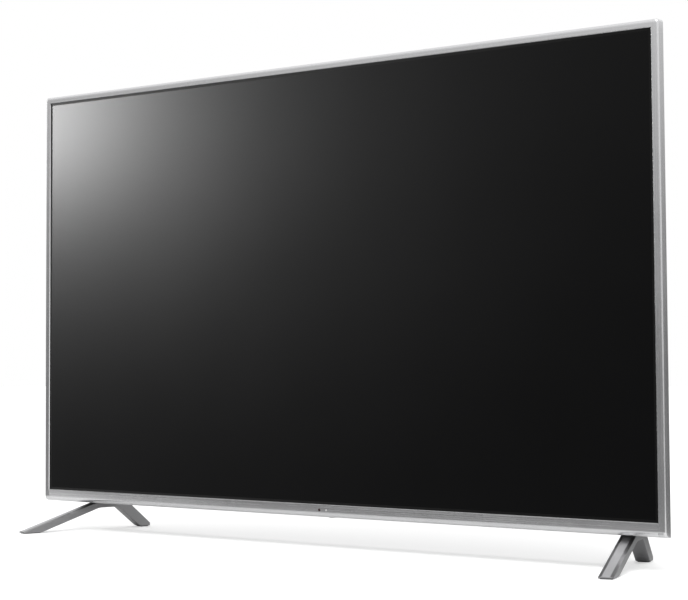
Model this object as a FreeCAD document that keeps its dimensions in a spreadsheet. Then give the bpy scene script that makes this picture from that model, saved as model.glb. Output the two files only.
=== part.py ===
import FreeCAD, Part
import math
import os
import Sketcher

# A free-standing flat screen television on two splayed feet, in millimetres.
# X runs to the viewer's right, Y from the screen to the back, and Z up.
# The origin is on the floor, at the middle of the box round the whole set.

SIZES = {
    # visible picture and the dark line round it
    "active_width": 1209.6,
    "active_height": 680.4,
    "black_border": 4.1,
    # bezel
    "side_bezel": 11.6,
    "top_bezel": 11.4,
    "bar_tall": 20.0,
    "bezel_lip": 1.7,
    "bezel_wall": 2.0,
    "bezel_deep": 15.2,
    "bezel_edge_round": 3.4,
    "bezel_corner_round": 4.0,
    "bar_round": 8.5,
    "opening_bevel": 1.0,
    "bar_seam": 0.15,
    # stance of the set over its feet
    "front_setback": 26.8,
    "set_deep": 84.0,
    "foot_tall": 50.0,
    # display cell, middle frame and optical sheets
    "cell_tuck": 3.6,
    "cell_thick": 1.4,
    "frame_ledge_thick": 1.4,
    "frame_ledge_reach": 2.9,
    "frame_skirt": 3.0,
    "frame_bottom_drop": 5.8,
    "frame_bottom_skirt": 2.0,
    "sheet_thick": 0.3,
    "plate_thick": 1.5,
    "sheet_margin": 2.0,
    "fit_gap": 0.3,
    # back tray and light sources
    "tray_thick": 1.0,
    "tray_side_thick": 1.6,
    "tray_deep": 22.6,
    "tray_mouth_margin": 4.0,
    "tray_slope": 26.0,
    "reflector_thick": 0.4,
    "reflector_slope_thick": 0.65,
    "reflector_side_gap": 0.5,
    "light_bar_thick": 1.6,
    "light_bar_tall": 18.0,
    "light_bar_end_gap": 12.0,
    "light_rows": 8,
    "lights_per_row": 9,
    "lens_radius": 7.0,
    "lens_tip_radius": 3.5,
    "lens_tall": 5.5,
    "lens_hole_gap": 0.6,
    "support_radius": 5.0,
    "support_tip_radius": 1.5,
    "support_spread": 300.0,
    # rear cover
    "cover_wall": 2.5,
    "cover_slope_wall": 4.5,
    "housing_slope_wall": 2.9,
    "cover_rim_inset": 1.0,
    "thin_deep": 35.5,
    "thin_side_inset": 37.0,
    "thin_top_inset": 33.0,
    "bulge_side_inset": 42.0,
    "bulge_top_drop": 102.0,
    "bulge_side_slope": 25.0,
    "bulge_top_slope": 40.0,
    "bulge_edge_round": 8.0,
    "vent_wide": 4.0,
    "vent_tall": 42.0,
    "vent_pitch": 12.0,
    "vent_count": 27,
    "vent_drop": 22.0,
    # wall mounting pattern
    "wall_spacing": 400.0,
    "wall_centre_lift": 41.0,
    "wall_post_radius": 9.0,
    "wall_thread_radius": 3.0,
    "wall_thread_deep": 20.0,
    "wall_post_recess": 0.5,
    # cover screws in wells
    "well_radius": 6.0,
    "well_wall": 1.6,
    "well_edge_inset": 150.5,
    "well_low_lift": 90.0,
    "well_high_drop": 33.0,
    "cover_screw_radius": 1.5,
    "cover_screw_head_radius": 3.2,
    "cover_screw_head_tall": 2.0,
    "top_screw_spread": 420.0,
    "top_screw_drop": 60.0,
    # boards
    "board_thick": 1.6,
    "standoff_tall": 6.0,
    "standoff_radius": 4.0,
    "standoff_inset": 9.0,
    "board_rise": 180.0,
    "board_tall": 220.0,
    "main_board_inner": 230.0,
    "main_board_wide": 240.0,
    "power_board_inner": 120.0,
    "power_board_wide": 300.0,
    "timing_board_wide": 220.0,
    "timing_board_rise": 70.0,
    "timing_board_tall": 60.0,
    "source_board_tall": 10.6,
    "source_board_thick": 1.2,
    "source_board_wide": 480.0,
    "source_board_inner": 45.0,
    "film_wide": 30.0,
    "film_thick": 0.2,
    "film_pitch": 150.0,
    "film_drop": 4.4,
    "film_overlap": 5.0,
    "ribbon_wide": 40.0,
    "ribbon_thick": 0.4,
    "ribbon_centre": 80.0,
    "display_ribbon_wide": 14.0,
    "display_ribbon_lift": 1.0,
    "display_ribbon_inset": 70.0,
    "display_ribbon_overlap": 12.0,
    "display_ribbon_seat": 7.0,
    # parts on the boards
    "capacitor_radius": 9.0,
    "capacitor_tall": 30.0,
    "capacitor_pitch": 24.0,
    "capacitor_inset": 126.0,
    "capacitor_lift": 40.0,
    "core_wide": 42.0,
    "core_deep": 18.0,
    "core_tall": 24.0,
    "winding_wide": 28.0,
    "winding_deep": 34.0,
    "winding_step": 3.0,
    "coil_inset": 60.0,
    "coil_pitch": 80.0,
    "coil_drop": 55.0,
    "heatsink_wide": 110.0,
    "heatsink_tall": 32.0,
    "heatsink_thick": 3.0,
    "heatsink_inset": 40.0,
    "heatsink_lift": 75.0,
    "heatsink_pitch": 30.0,
    "cooler_side": 50.0,
    "cooler_tall": 14.0,
    "cooler_foot": 3.0,
    "cooler_fin": 2.0,
    "cooler_inset": 40.0,
    "cooler_drop": 42.0,
    "tuner_wide": 44.0,
    "tuner_deep": 25.0,
    "tuner_tall": 9.0,
    "tuner_inset": 18.0,
    "tuner_gap": 8.0,
    # recess for the rear sockets, on the main board
    "bay_wall": 2.0,
    "terminal_plate_thick": 1.5,
    "rear_bay_floor": 24.0,
    "rear_bay_wide": 180.0,
    "rear_bay_tall": 60.0,
    "rear_bay_inset": 30.0,
    "rear_bay_lift": 20.0,
    "bay_window_margin": 5.0,
    "side_bay_gap": 6.0,
    "side_bay_tall": 104.0,
    "side_bay_lift": 108.0,
    "side_window_deep": 10.0,
    "socket_proud": 0.4,
    "socket_deep": 10.0,
    "socket_foot": 6.0,
    "lan_wide": 16.0,
    "lan_tall": 14.0,
    "lan_hole_wide": 12.0,
    "lan_hole_tall": 8.0,
    "lan_inset": 13.0,
    "optical_side": 10.0,
    "optical_hole": 6.0,
    "optical_inset": 33.0,
    "jack_radius": 4.15,
    "jack_bore": 1.6,
    "jack_foot": 10.0,
    "jack_reach": 9.0,
    "jack_inset": 60.0,
    "jack_pitch": 14.0,
    "antenna_radius": 4.75,
    "antenna_bore": 1.2,
    "antenna_foot": 14.0,
    "antenna_reach": 10.0,
    "antenna_inset": 14.0,
    "antenna_pitch": 20.0,
    "video_long": 15.0,
    "video_tall": 6.4,
    "video_hole_long": 12.6,
    "video_hole_tall": 4.4,
    "data_long": 14.0,
    "data_tall": 7.0,
    "data_hole_long": 12.2,
    "data_hole_tall": 5.0,
    "side_socket_inset": 18.0,
    "side_socket_pitch": 22.0,
    # mains inlet and its recess, on the power board
    "inlet_bay_floor": 34.0,
    "inlet_bay_wide": 52.0,
    "inlet_bay_tall": 44.0,
    "inlet_bay_inset": 24.0,
    "inlet_wide": 24.0,
    "inlet_tall": 15.0,
    "inlet_hole_wide": 15.6,
    "inlet_hole_tall": 7.6,
    "inlet_hole_deep": 12.0,
    "inlet_pin_radius": 1.2,
    "inlet_pin_spacing": 8.6,
    # speakers
    "speaker_inner": 150.0,
    "speaker_wide": 190.0,
    "speaker_tall": 58.0,
    "speaker_wall": 2.0,
    "speaker_front_gap": 5.0,
    "speaker_back_gap": 4.0,
    "driver_inset": 45.0,
    "cone_radius": 14.5,
    "cone_gap": 1.2,
    "cone_rise": 0.6,
    "coil_radius": 5.0,
    "cone_deep": 9.0,
    "cone_skin": 1.0,
    "coil_tall": 4.6,
    "basket_wall": 2.0,
    "basket_flange": 3.3,
    "basket_flange_thick": 1.5,
    "basket_deep": 17.5,
    "magnet_radius": 13.0,
    "magnet_overlap": 5.0,
    "magnet_tall": 12.0,
    "sound_slot_wide": 3.0,
    "sound_slot_pitch": 7.0,
    "sound_slot_count": 6,
    "sound_slot_long": 30.0,
    # control stick under the middle of the set
    "stick_setback": 20.0,
    "stick_case_side": 28.0,
    "stick_case_tall": 17.5,
    "stick_case_wall": 2.5,
    "stick_pivot_rise": 10.0,
    "stick_ring_side": 18.0,
    "stick_ring_wall": 2.5,
    "stick_ring_tall": 4.0,
    "stick_hub_side": 9.0,
    "stick_pin_radius": 1.0,
    "stick_stem_radius": 2.0,
    "running_gap": 0.05,
    "stick_end_gap": 0.4,
    "stick_knob_radius": 7.5,
    "stick_knob_tall": 5.0,
    "stick_knob_proud": 4.0,
    "stick_hole_gap": 2.2,
    "stick_press": 0.6,
    # light window and standby lens in the bottom bar
    "window_side": 9.0,
    "lens_side": 23.0,
    "window_radius": 2.2,
    "standby_radius": 1.2,
    "window_flange": 0.6,
    "window_flange_thick": 1.0,
    "window_rise": 11.3,
    "plug_gap": 0.05,
    "sensor_board_wide": 60.0,
    "sensor_board_tall": 5.6,
    "sensor_board_thick": 1.2,
    # leads inside the set
    "plug_wide": 14.0,
    "plug_tall": 7.0,
    "plug_long": 8.0,
    "harness_radius": 2.5,
    "harness_lift": 100.0,
    "light_lead_radius": 2.0,
    "light_lead_inset": 190.0,
    "light_lead_drop": 60.0,
    "speaker_lead_radius": 1.5,
    "speaker_lead_inset": 10.0,
    "speaker_lead_rise": 28.0,
    "lead_sway": 1.0,
    # feet
    "foot_edge_inset": 77.1,
    "foot_splay": 16.64,
    "foot_wide": 22.0,
    "foot_reach": 123.2,
    "foot_front_contact": 34.0,
    "foot_rear_contact": 19.5,
    "foot_front_nose": 2.6,
    "foot_rear_nose": 6.5,
    "foot_land_start": 22.0,
    "foot_land_end": 76.0,
    "foot_arch_start": 22.0,
    "foot_arch_end": 60.0,
    "foot_arch_rise": 38.0,
    "foot_arch_front_round": 30.0,
    "foot_arch_rear_round": 10.0,
    "foot_bevel_wide": 5.0,
    "foot_bevel_deep": 1.3,
    "pad_thick": 1.2,
    "pad_margin": 2.5,
    # brackets and screws of the feet
    "bracket_wide": 40.0,
    "bracket_floor": 4.0,
    "bracket_plate": 3.0,
    "bracket_tall": 95.0,
    "foot_screw_first": 42.0,
    "foot_screw_second": 52.0,
    "foot_screw_radius": 2.4,
    "foot_screw_hole_gap": 0.3,
    "foot_screw_head_radius": 4.0,
    "foot_screw_head_tall": 3.5,
    "foot_screw_sink": 4.0,
    "foot_screw_end": 1.5,
}


class Size:
    """A length, with the expression that gives it on the sheet and its value."""

    def __init__(self, text, value):
        self.text = text
        self.value = value

    def __add__(self, other):
        other = as_size(other)
        return Size(f"({self.text} + {other.text})", self.value + other.value)

    def __sub__(self, other):
        other = as_size(other)
        return Size(f"({self.text} - {other.text})", self.value - other.value)

    def __mul__(self, other):
        other = as_size(other)
        return Size(f"({self.text} * {other.text})", self.value * other.value)

    def __truediv__(self, other):
        other = as_size(other)
        return Size(f"({self.text} / {other.text})", self.value / other.value)

    def __neg__(self):
        return Size(f"(-1 * {self.text})", -self.value)

    __radd__ = __add__
    __rmul__ = __mul__

    def __rsub__(self, other):
        return as_size(other) - self


def as_size(length):
    if isinstance(length, Size):
        return length
    return Size(f"({length})", float(length))


def sine(angle):
    return Size(f"sin({angle.text})", math.sin(math.radians(angle.value)))


def cosine(angle):
    return Size(f"cos({angle.text})", math.cos(math.radians(angle.value)))


doc = FreeCAD.newDocument("television")
sheet = doc.addObject("Spreadsheet::Sheet", "Sizes")
for row, (alias, number) in enumerate(SIZES.items(), 1):
    sheet.set(f"A{row}", alias)
    sheet.set(f"B{row}", str(number))
    sheet.setAlias(f"B{row}", alias)
doc.recompute()


class Sheet:
    """Reads a size off the sheet by its name."""

    def __getattr__(self, alias):
        return Size(f"Sizes.{alias}", float(SIZES[alias]))


s = Sheet()
X_AXIS = FreeCAD.Vector(1, 0, 0)
Y_AXIS = FreeCAD.Vector(0, 1, 0)
Z_AXIS = FreeCAD.Vector(0, 0, 1)
TURNS = {
    "x": FreeCAD.Rotation(Y_AXIS, 90),
    "y": FreeCAD.Rotation(X_AXIS, -90),
    "z": FreeCAD.Rotation(),
}
SIDES = {"left": -1, "right": 1}
nodes = []


# Helpers that tie an object's properties to sizes

def bind(item, **lengths):
    """Ties properties to sizes, with a double underscore for a dot in the name."""
    for name, length in lengths.items():
        item.setExpression(name.replace("__", "."), as_size(length).text)
    return item


def place(item, x, y, z):
    return bind(item, Placement__Base__x=x, Placement__Base__y=y, Placement__Base__z=z)


def node(name, item):
    """Marks an object as a sub-part that is written under this name."""
    item.Label = name
    nodes.append(item)
    return item


def block(name, x, y, z):
    """A box between the low and high limit of each axis."""
    item = doc.addObject("Part::Box", name)
    bind(item, Length=x[1] - x[0], Width=y[1] - y[0], Height=z[1] - z[0])
    return place(item, x[0], y[0], z[0])


def round_item(kind, name, axis, spot):
    """A round primitive along an axis, whose place on that axis is a low and high limit."""
    item = doc.addObject(kind, name)
    item.Placement = FreeCAD.Placement(FreeCAD.Vector(), TURNS[axis])
    low, high = spot[axis]
    bind(item, Height=high - low)
    start = {**spot, axis: low}
    return place(item, start["x"], start["y"], start["z"])


def rod(name, axis, radius, x, y, z):
    item = round_item("Part::Cylinder", name, axis, {"x": x, "y": y, "z": z})
    return bind(item, Radius=radius)


def cone(name, axis, first, last, x, y, z):
    item = round_item("Part::Cone", name, axis, {"x": x, "y": y, "z": z})
    return bind(item, Radius1=first, Radius2=last)


def frustum(name, y, front, back):
    """A block along Y between a front and a back rectangle, each (x limits, z limits)."""
    item = doc.addObject("Part::Wedge", name)
    return bind_wedge(item, y, front, back)


def bind_wedge(item, y, front, back):
    limits = zip(("Xmin", "Xmax", "Zmin", "Zmax"), (*front[0], *front[1]))
    far_limits = zip(("X2min", "X2max", "Z2min", "Z2max"), (*back[0], *back[1]))
    return bind(item, Ymin=y[0], Ymax=y[1], **dict(limits), **dict(far_limits))


def cut(name, base, *tools):
    item = doc.addObject("Part::Cut", name)
    item.Base = base
    item.Tool = tools[0] if len(tools) == 1 else fuse(f"{name}_tools", *tools)
    return item


def fuse(name, *parts):
    item = doc.addObject("Part::MultiFuse", name)
    item.Shapes = list(parts)
    return item


def group(name, parts):
    item = doc.addObject("Part::Compound", name)
    item.Links = list(parts)
    return item


def outline(body, role, points, offset=0.0):
    """A closed sketch through points on one of the body's own planes."""
    sketch = body.newObject("Sketcher::SketchObject", f"{body.Name}_outline")
    plane = next(item for item in body.Origin.OriginFeatures if item.Role == role)
    sketch.AttachmentSupport = [(plane, "")]
    sketch.MapMode = "FlatFace"
    bind(sketch, AttachmentOffset__Base__z=offset)
    corners = [(as_size(a), as_size(b)) for a, b in points]
    spots = [FreeCAD.Vector(a.value, b.value, 0) for a, b in corners]
    count = len(spots)
    lines = [Part.LineSegment(spots[i], spots[(i + 1) % count]) for i in range(count)]
    sketch.addGeometry(lines, False)
    for i, corner in enumerate(corners):
        sketch.addConstraint(Sketcher.Constraint("Coincident", i, 2, (i + 1) % count, 1))
        for kind, length in zip(("DistanceX", "DistanceY"), corner):
            number = sketch.addConstraint(Sketcher.Constraint(kind, -1, 1, i, 1, length.value))
            sketch.setExpression(f"Constraints[{number}]", length.text)
    return sketch


def rectangle(x, z):
    return [(x[0], z[0]), (x[1], z[0]), (x[1], z[1]), (x[0], z[1])]


def pad(body, sketch, length, **options):
    item = body.newObject("PartDesign::Pad", f"{body.Name}_pad")
    item.Profile = sketch
    for name, choice in options.items():
        setattr(item, name, choice)
    return bind(item, Length=length)


def pocket(body, sketch, length, **options):
    item = body.newObject("PartDesign::Pocket", f"{body.Name}_pocket")
    item.Profile = sketch
    for name, choice in options.items():
        setattr(item, name, choice)
    return bind(item, Length=length)


def edges_where(item, test):
    """Names of the edges of an object that pass a test."""
    doc.recompute()
    return [f"Edge{i}" for i, edge in enumerate(item.Shape.Edges, 1) if test(edge)]


def soften(body, base, kind, edges, **lengths):
    """A fillet or chamfer on some edges of the feature before it."""
    item = body.newObject(f"PartDesign::{kind}", f"{body.Name}_{kind.lower()}")
    item.Base = (base, edges)
    return bind(item, **lengths)


def near(first, second):
    return abs(first - second.value) < 0.01


def mirrored(side, low, high):
    """Limits on X, given outwards from the middle, on one side."""
    return (low, high) if side > 0 else (-high, -low)


# Places that several pieces share

open_half = s.active_width / 2 + s.black_border
half_wide = open_half + s.side_bezel
base = s.foot_tall
open_low = base + s.bar_tall
open_high = open_low + s.active_height + 2 * s.black_border
top = open_high + s.top_bezel
foot_side = half_wide - s.foot_edge_inset
front = -s.front_setback
back = front + s.set_deep
join = front + s.bezel_deep
cell_front = front + s.bezel_lip
cell_back = cell_front + s.cell_thick
ledge_back = cell_back + s.frame_ledge_thick
sheets_back = ledge_back + 3 * s.sheet_thick
plate_back = sheets_back + s.plate_thick
flange_back = plate_back + s.tray_thick
tray_back = plate_back + s.tray_deep
tray_floor = tray_back - s.tray_thick
light_bar_front = tray_floor - s.light_bar_thick
board_front = tray_back + s.standoff_tall
board_back = board_front + s.board_thick
floor_top = base + s.cover_wall
thin_back = front + s.thin_deep
cover_inside = back - s.cover_wall
rear_top = top - s.bulge_top_drop - s.bulge_top_slope


# Bezel: a one-piece surround of two legs and a top, and the bar between the legs

def make_bezel_frame():
    body = doc.addObject("PartDesign::Body", "bezel_frame")
    outer = outline(body, "XZ_Plane", rectangle((-half_wide, half_wide), (base, top)), -front)
    pad(body, outer, s.bezel_deep, Reversed=True)
    mouth = outline(body, "XZ_Plane", rectangle((-open_half, open_half), (0, open_high)), -front)
    pocket(body, mouth, s.bezel_deep)
    inside_half = half_wide - s.bezel_wall
    leg_plug = base + s.bar_round + s.bezel_wall
    inside = rectangle((-inside_half, inside_half), (leg_plug, top - s.bezel_wall))
    hollow = pocket(body, outline(body, "XZ_Plane", inside, -join), s.bezel_deep - s.bezel_lip,
                    Reversed=True)
    corners = edges_where(hollow, lambda edge: near(abs(edge.CenterOfMass.x), half_wide)
                          and near(edge.CenterOfMass.z, top) and edge.BoundBox.YLength > 1)
    corner = soften(body, hollow, "Fillet", corners, Radius=s.bezel_corner_round)
    toes = edges_where(corner, lambda edge: near(edge.CenterOfMass.y, front)
                       and near(edge.CenterOfMass.z, base))
    toe = soften(body, corner, "Fillet", toes, Radius=s.bar_round)

    def is_outer(edge):
        spot = edge.CenterOfMass
        flat = edge.BoundBox.YLength < 0.01 and near(spot.y, front)
        return flat and (abs(spot.x) > open_half.value + 5 or spot.z > open_high.value + 5)

    rim = soften(body, toe, "Fillet", edges_where(toe, is_outer), Radius=s.bezel_edge_round)

    def is_inner(edge):
        spot = edge.CenterOfMass
        flat = edge.BoundBox.YLength < 0.01 and near(spot.y, front)
        return flat and (near(abs(spot.x), open_half) or near(spot.z, open_high))

    soften(body, rim, "Chamfer", edges_where(rim, is_inner), Size=s.opening_bevel)
    node("bezel_frame", body)


def make_bottom_bar():
    """A bar of J section: a face, a rounded lower edge and a floor."""
    body = doc.addObject("PartDesign::Body", "bar_profile")
    section = [
        (front, open_low),
        (front, base),
        (join, base),
        (join, base + s.bezel_lip),
        (cell_front, base + s.bezel_lip),
        (cell_front, open_low),
    ]
    half = open_half - s.bar_seam
    bar = pad(body, outline(body, "YZ_Plane", section, -half), 2 * half)
    outer = edges_where(bar, lambda edge: near(edge.CenterOfMass.y, front)
                        and near(edge.CenterOfMass.z, base))
    lower = soften(body, bar, "Fillet", outer, Radius=s.bar_round)
    inner = edges_where(lower, lambda edge: near(edge.CenterOfMass.y, cell_front)
                        and near(edge.CenterOfMass.z, base + s.bezel_lip))
    soften(body, lower, "Fillet", inner, Radius=s.bar_round - s.bezel_lip)
    window_z = base + s.window_rise
    through = (front - 1, cell_front + 1)
    holes = [
        rod("window_hole", "y", s.window_radius + s.plug_gap, s.window_side, through, window_z),
        rod("standby_hole", "y", s.standby_radius + s.plug_gap, s.lens_side, through, window_z),
    ]
    node("bottom_bar", cut("drilled_bar", body, *holes))


def make_plug(name, radius, x):
    """A round window through the bar, with a flange behind its face."""
    window_z = base + s.window_rise
    flange = (cell_front, cell_front + s.window_flange_thick)
    stem = rod(f"{name}_stem", "y", radius, x, (front, flange[0]), window_z)
    disc = rod(f"{name}_disc", "y", radius + s.window_flange, x, flange, window_z)
    node(name, fuse(f"{name}_solid", stem, disc))


def make_sensor_board():
    centre = (s.window_side + s.lens_side) / 2
    x = (centre - s.sensor_board_wide / 2, centre + s.sensor_board_wide / 2)
    y = cell_front + s.window_flange_thick
    middle = base + s.window_rise
    z = (middle - s.sensor_board_tall / 2, middle + s.sensor_board_tall / 2)
    node("sensor_board", block("sensor_board", x, (y, y + s.sensor_board_thick), z))


# Screen: display cell, its frame, the optical sheets and the light chamber

def make_display():
    half = open_half + s.cell_tuck
    z = (open_low - s.cell_tuck, open_high + s.cell_tuck)
    node("display_panel", block("display_panel", (-half, half), (cell_front, cell_back), z))

    outer_half = half_wide - s.bezel_wall - s.fit_gap
    outer_z = (open_low - s.frame_bottom_drop, top - s.bezel_wall - s.fit_gap)
    inner_half = outer_half - s.frame_skirt
    inner_z = (outer_z[0] + s.frame_bottom_skirt, outer_z[1] - s.frame_skirt)
    slab = block("frame_slab", (-outer_half, outer_half), (cell_front, join), outer_z)
    cell_half = half + s.fit_gap
    cell_z = (z[0] - s.plug_gap, z[1] + s.fit_gap)
    seat = block("frame_cell_seat", (-cell_half, cell_half), (cell_front - 1, cell_back), cell_z)
    look_half = open_half - s.frame_ledge_reach
    look_z = (open_low + s.frame_ledge_reach, open_high - s.frame_ledge_reach)
    look = block("frame_look", (-look_half, look_half), (cell_back - 1, join), look_z)
    rear = block("frame_rear", (-inner_half, inner_half), (ledge_back, join + 1), inner_z)
    notches = []
    for i, x in enumerate(film_places()):
        reach = s.film_wide / 2 + s.frame_bottom_skirt
        notches.append(block(f"frame_notch_{i}", (x - reach, x + reach),
                             (cell_front - 1, join + 1), (outer_z[0] - 1, inner_z[0] + 0.5)))
    node("panel_frame", cut("panel_frame", slab, seat, look, rear, *notches))

    sheet_half = open_half + s.sheet_margin
    sheet_z = (open_low - s.sheet_margin, open_high + s.sheet_margin)
    start = ledge_back
    stack = {
        "brightness_film": s.sheet_thick,
        "prism_sheet": s.sheet_thick,
        "diffuser_sheet": s.sheet_thick,
        "diffuser_plate": s.plate_thick,
    }
    for name, thick in stack.items():
        layer = (start, start + thick)
        node(name, block(name, (-sheet_half, sheet_half), layer, sheet_z))
        start = start + thick
    return inner_half, inner_z


def film_places():
    """Middles of the eight driver films along the lower edge of the cell."""
    return [side * s.film_pitch * (step + 0.5) for side in (-1, 1) for step in range(4)]


def chamber(inset):
    """Front and back rectangles inside the tray, drawn in by an inset."""
    mouth = s.active_width / 2 - s.tray_mouth_margin - inset
    low = open_low + s.black_border + s.tray_mouth_margin + inset
    high = open_high - s.black_border - s.tray_mouth_margin - inset
    slope = s.tray_slope
    front_rectangle = ((-mouth, mouth), (low, high))
    back_rectangle = ((slope - mouth, mouth - slope), (low + slope, high - slope))
    return front_rectangle, back_rectangle


def board_limits():
    """X and Z limits of the boards on the back of the tray."""
    rise = (base + s.board_rise, base + s.board_rise + s.board_tall)
    low = base + s.timing_board_rise
    return {
        "main_board": ((-s.main_board_inner - s.main_board_wide, -s.main_board_inner), rise),
        "power_board": ((s.power_board_inner, s.power_board_inner + s.power_board_wide), rise),
        "timing_board": ((-s.timing_board_wide / 2, s.timing_board_wide / 2),
                         (low, low + s.timing_board_tall)),
    }


def make_chassis_tray(flange_half, flange_z):
    """A sheet-metal tray with a flange in front and standoffs on its back."""
    flange_half = flange_half - s.fit_gap
    flange_z = (flange_z[0] + s.fit_gap, flange_z[1] - s.fit_gap)
    flange = block("tray_flange", (-flange_half, flange_half), (plate_back, flange_back), flange_z)
    pan = frustum("tray_pan", (plate_back, tray_back), *chamber(-s.tray_side_thick))
    hollow = frustum("tray_hollow", (plate_back, tray_floor), *chamber(as_size(0)))
    mouth = chamber(as_size(0))[0]
    opening = block("tray_mouth", mouth[0], (plate_back - 1, plate_back), mouth[1])
    posts = []
    for name, (x, z) in board_limits().items():
        for i, post_x in enumerate((x[0] + s.standoff_inset, x[1] - s.standoff_inset)):
            for j, post_z in enumerate((z[0] + s.standoff_inset, z[1] - s.standoff_inset)):
                posts.append(rod(f"{name}_post_{i}{j}", "y", s.standoff_radius, post_x,
                                 (tray_back - 0.5, board_front), post_z))
    for i, (x, z) in enumerate(cover_screw_spots()):
        posts.append(rod(f"cover_post_{i}", "y", s.cover_screw_radius + 2, x,
                         (tray_back - 0.5, thin_back - s.cover_wall), z))
    outside = fuse("tray_outside", flange, pan, *posts)
    bores = [rod(f"cover_post_bore_{i}", "y", s.cover_screw_radius, x, (tray_back, thin_back), z)
             for i, (x, z) in enumerate(cover_screw_spots())]
    node("chassis_tray", cut("chassis_tray", outside, hollow, opening, *bores))


def cover_screw_spots():
    """Places of the screws that hold the rear cover: four in wells, three along the top."""
    rises = (base + s.well_low_lift, rear_top - s.well_high_drop)
    out = half_wide - s.well_edge_inset
    wells = [(side * out, z) for side in (-1, 1) for z in rises]
    upper = [(step * s.top_screw_spread, top - s.top_screw_drop) for step in (-1, 0, 1)]
    return wells + upper


def make_lights():
    """Rows of light bars on the tray's floor, with a lens over each light."""
    (x, z) = chamber(as_size(0))[1]
    pitch = (z[1] - z[0]) / s.light_rows
    reach = (x[1] - x[0]) / 2 - s.light_bar_end_gap
    gap = 2 * reach / s.lights_per_row
    bars = []
    lenses = []
    holes = []
    for row in range(SIZES["light_rows"]):
        middle = z[0] + pitch * (row + 0.5)
        rise = (middle - s.light_bar_tall / 2, middle + s.light_bar_tall / 2)
        bars.append(block(f"light_bar_{row}", (-reach, reach), (light_bar_front, tray_floor), rise))
        for step in range(SIZES["lights_per_row"]):
            spot = gap * (step + 0.5) - reach
            lenses.append(cone(f"lens_{row}_{step}", "y", s.lens_tip_radius, s.lens_radius,
                               spot, (light_bar_front - s.lens_tall, light_bar_front), middle))
            holes.append(rod(f"lens_hole_{row}_{step}", "y", s.lens_radius + s.lens_hole_gap,
                             spot, (light_bar_front - 2, light_bar_front + 1), middle))
    node("light_bars", group("light_bars", bars))
    node("light_lenses", group("light_lenses", lenses))

    mirror_front = light_bar_front - s.reflector_thick
    shell = frustum("reflector_shell", (plate_back + s.fit_gap, light_bar_front),
                    *chamber(s.reflector_side_gap + s.fit_gap))
    inside = frustum("reflector_inside", (plate_back, mirror_front),
                     *chamber(s.reflector_side_gap + s.fit_gap + s.reflector_slope_thick))
    node("reflector_sheet", cut("reflector_sheet", shell, inside, *holes))

    supports = []
    for i, step in enumerate((-1, 0, 1)):
        for j, row in enumerate((2, 6)):
            supports.append(cone(f"support_{i}{j}", "y", s.support_tip_radius, s.support_radius,
                                 step * s.support_spread, (plate_back, mirror_front),
                                 z[0] + pitch * row))
    node("plate_supports", group("plate_supports", supports))


# Boards, their parts and the leads between them

def make_boards():
    for name, (x, z) in board_limits().items():
        node(name, block(name, x, (board_front, board_back), z))
    low = open_low - s.frame_bottom_drop + s.frame_bottom_skirt + s.fit_gap
    boards = []
    for side in SIDES.values():
        x = mirrored(side, s.source_board_inner, s.source_board_inner + s.source_board_wide)
        boards.append(block(f"source_board_{side + 1}", x,
                            (flange_back, flange_back + s.source_board_thick),
                            (low, low + s.source_board_tall)))
    node("source_boards", group("source_boards", boards))
    films = []
    bottom = open_low - s.cell_tuck - s.film_drop
    rear = flange_back + s.source_board_thick
    front_leg = (cell_back - s.film_thick, cell_back)
    for i, x in enumerate(film_places()):
        wide = (x - s.film_wide / 2, x + s.film_wide / 2)
        films.append(fuse(
            f"film_{i}",
            block(f"film_front_{i}", wide, front_leg, (bottom, open_low - s.cell_tuck)),
            block(f"film_under_{i}", wide, (front_leg[0], rear + s.film_thick),
                  (bottom, bottom + s.film_thick)),
            block(f"film_rear_{i}", wide, (rear, rear + s.film_thick),
                  (bottom, low + s.film_overlap)),
        ))
    node("driver_films", group("driver_films", films))


def make_timing_ribbons():
    """Two flat cables down the slope of the tray, from the timing board to the source boards."""
    low = open_low - s.frame_bottom_drop + s.frame_bottom_skirt + s.fit_gap + s.source_board_tall
    rear = flange_back + s.source_board_thick
    (_, front_z), (_, back_z) = chamber(-s.tray_side_thick)
    run = (back_z[0] - front_z[0]) / (tray_back - plate_back)
    turn = tray_back + s.fit_gap
    slope_foot = front_z[0] + run * (rear - plate_back)
    slope_head = back_z[0] + run * s.fit_gap
    board_z = base + s.timing_board_rise
    thick = s.ribbon_thick
    path = [
        (rear, low - s.film_overlap),
        (rear, slope_foot - 1),
        (turn, slope_head - 1),
        (turn, board_z - 8),
        (board_back, board_z - 4),
        (board_back, board_z + 6),
    ]
    outer = [(y + thick, z) for y, z in reversed(path)]
    ribbons = []
    for side in SIDES.values():
        body = doc.addObject("PartDesign::Body", f"ribbon_{side + 1}")
        sketch = outline(body, "YZ_Plane", path + outer,
                         side * s.ribbon_centre - s.ribbon_wide / 2)
        pad(body, sketch, s.ribbon_wide)
        ribbons.append(body)
    node("timing_ribbon_cables", group("timing_ribbon_cables", ribbons))


def make_display_ribbon():
    """A flat cable over the faces of the main board and the timing board."""
    body = doc.addObject("PartDesign::Body", "display_ribbon")
    limits = board_limits()
    wide = s.display_ribbon_wide
    start = limits["main_board"][0][1] - s.display_ribbon_inset
    high = limits["main_board"][1][0] + s.display_ribbon_overlap
    end = limits["timing_board"][0][0] + s.display_ribbon_seat
    level = limits["timing_board"][1][0] + s.display_ribbon_lift + wide
    fold = wide / 3
    points = [
        (start, high),
        (start, level),
        (start + wide, level - wide),
        (end, level - wide),
        (end, level),
        (start + wide + fold, level),
        (start + wide, level + fold),
        (start + wide, high),
    ]
    sketch = outline(body, "XZ_Plane", points, -board_back)
    pad(body, sketch, s.ribbon_thick, Reversed=True)
    node("display_ribbon_cable", body)


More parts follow.
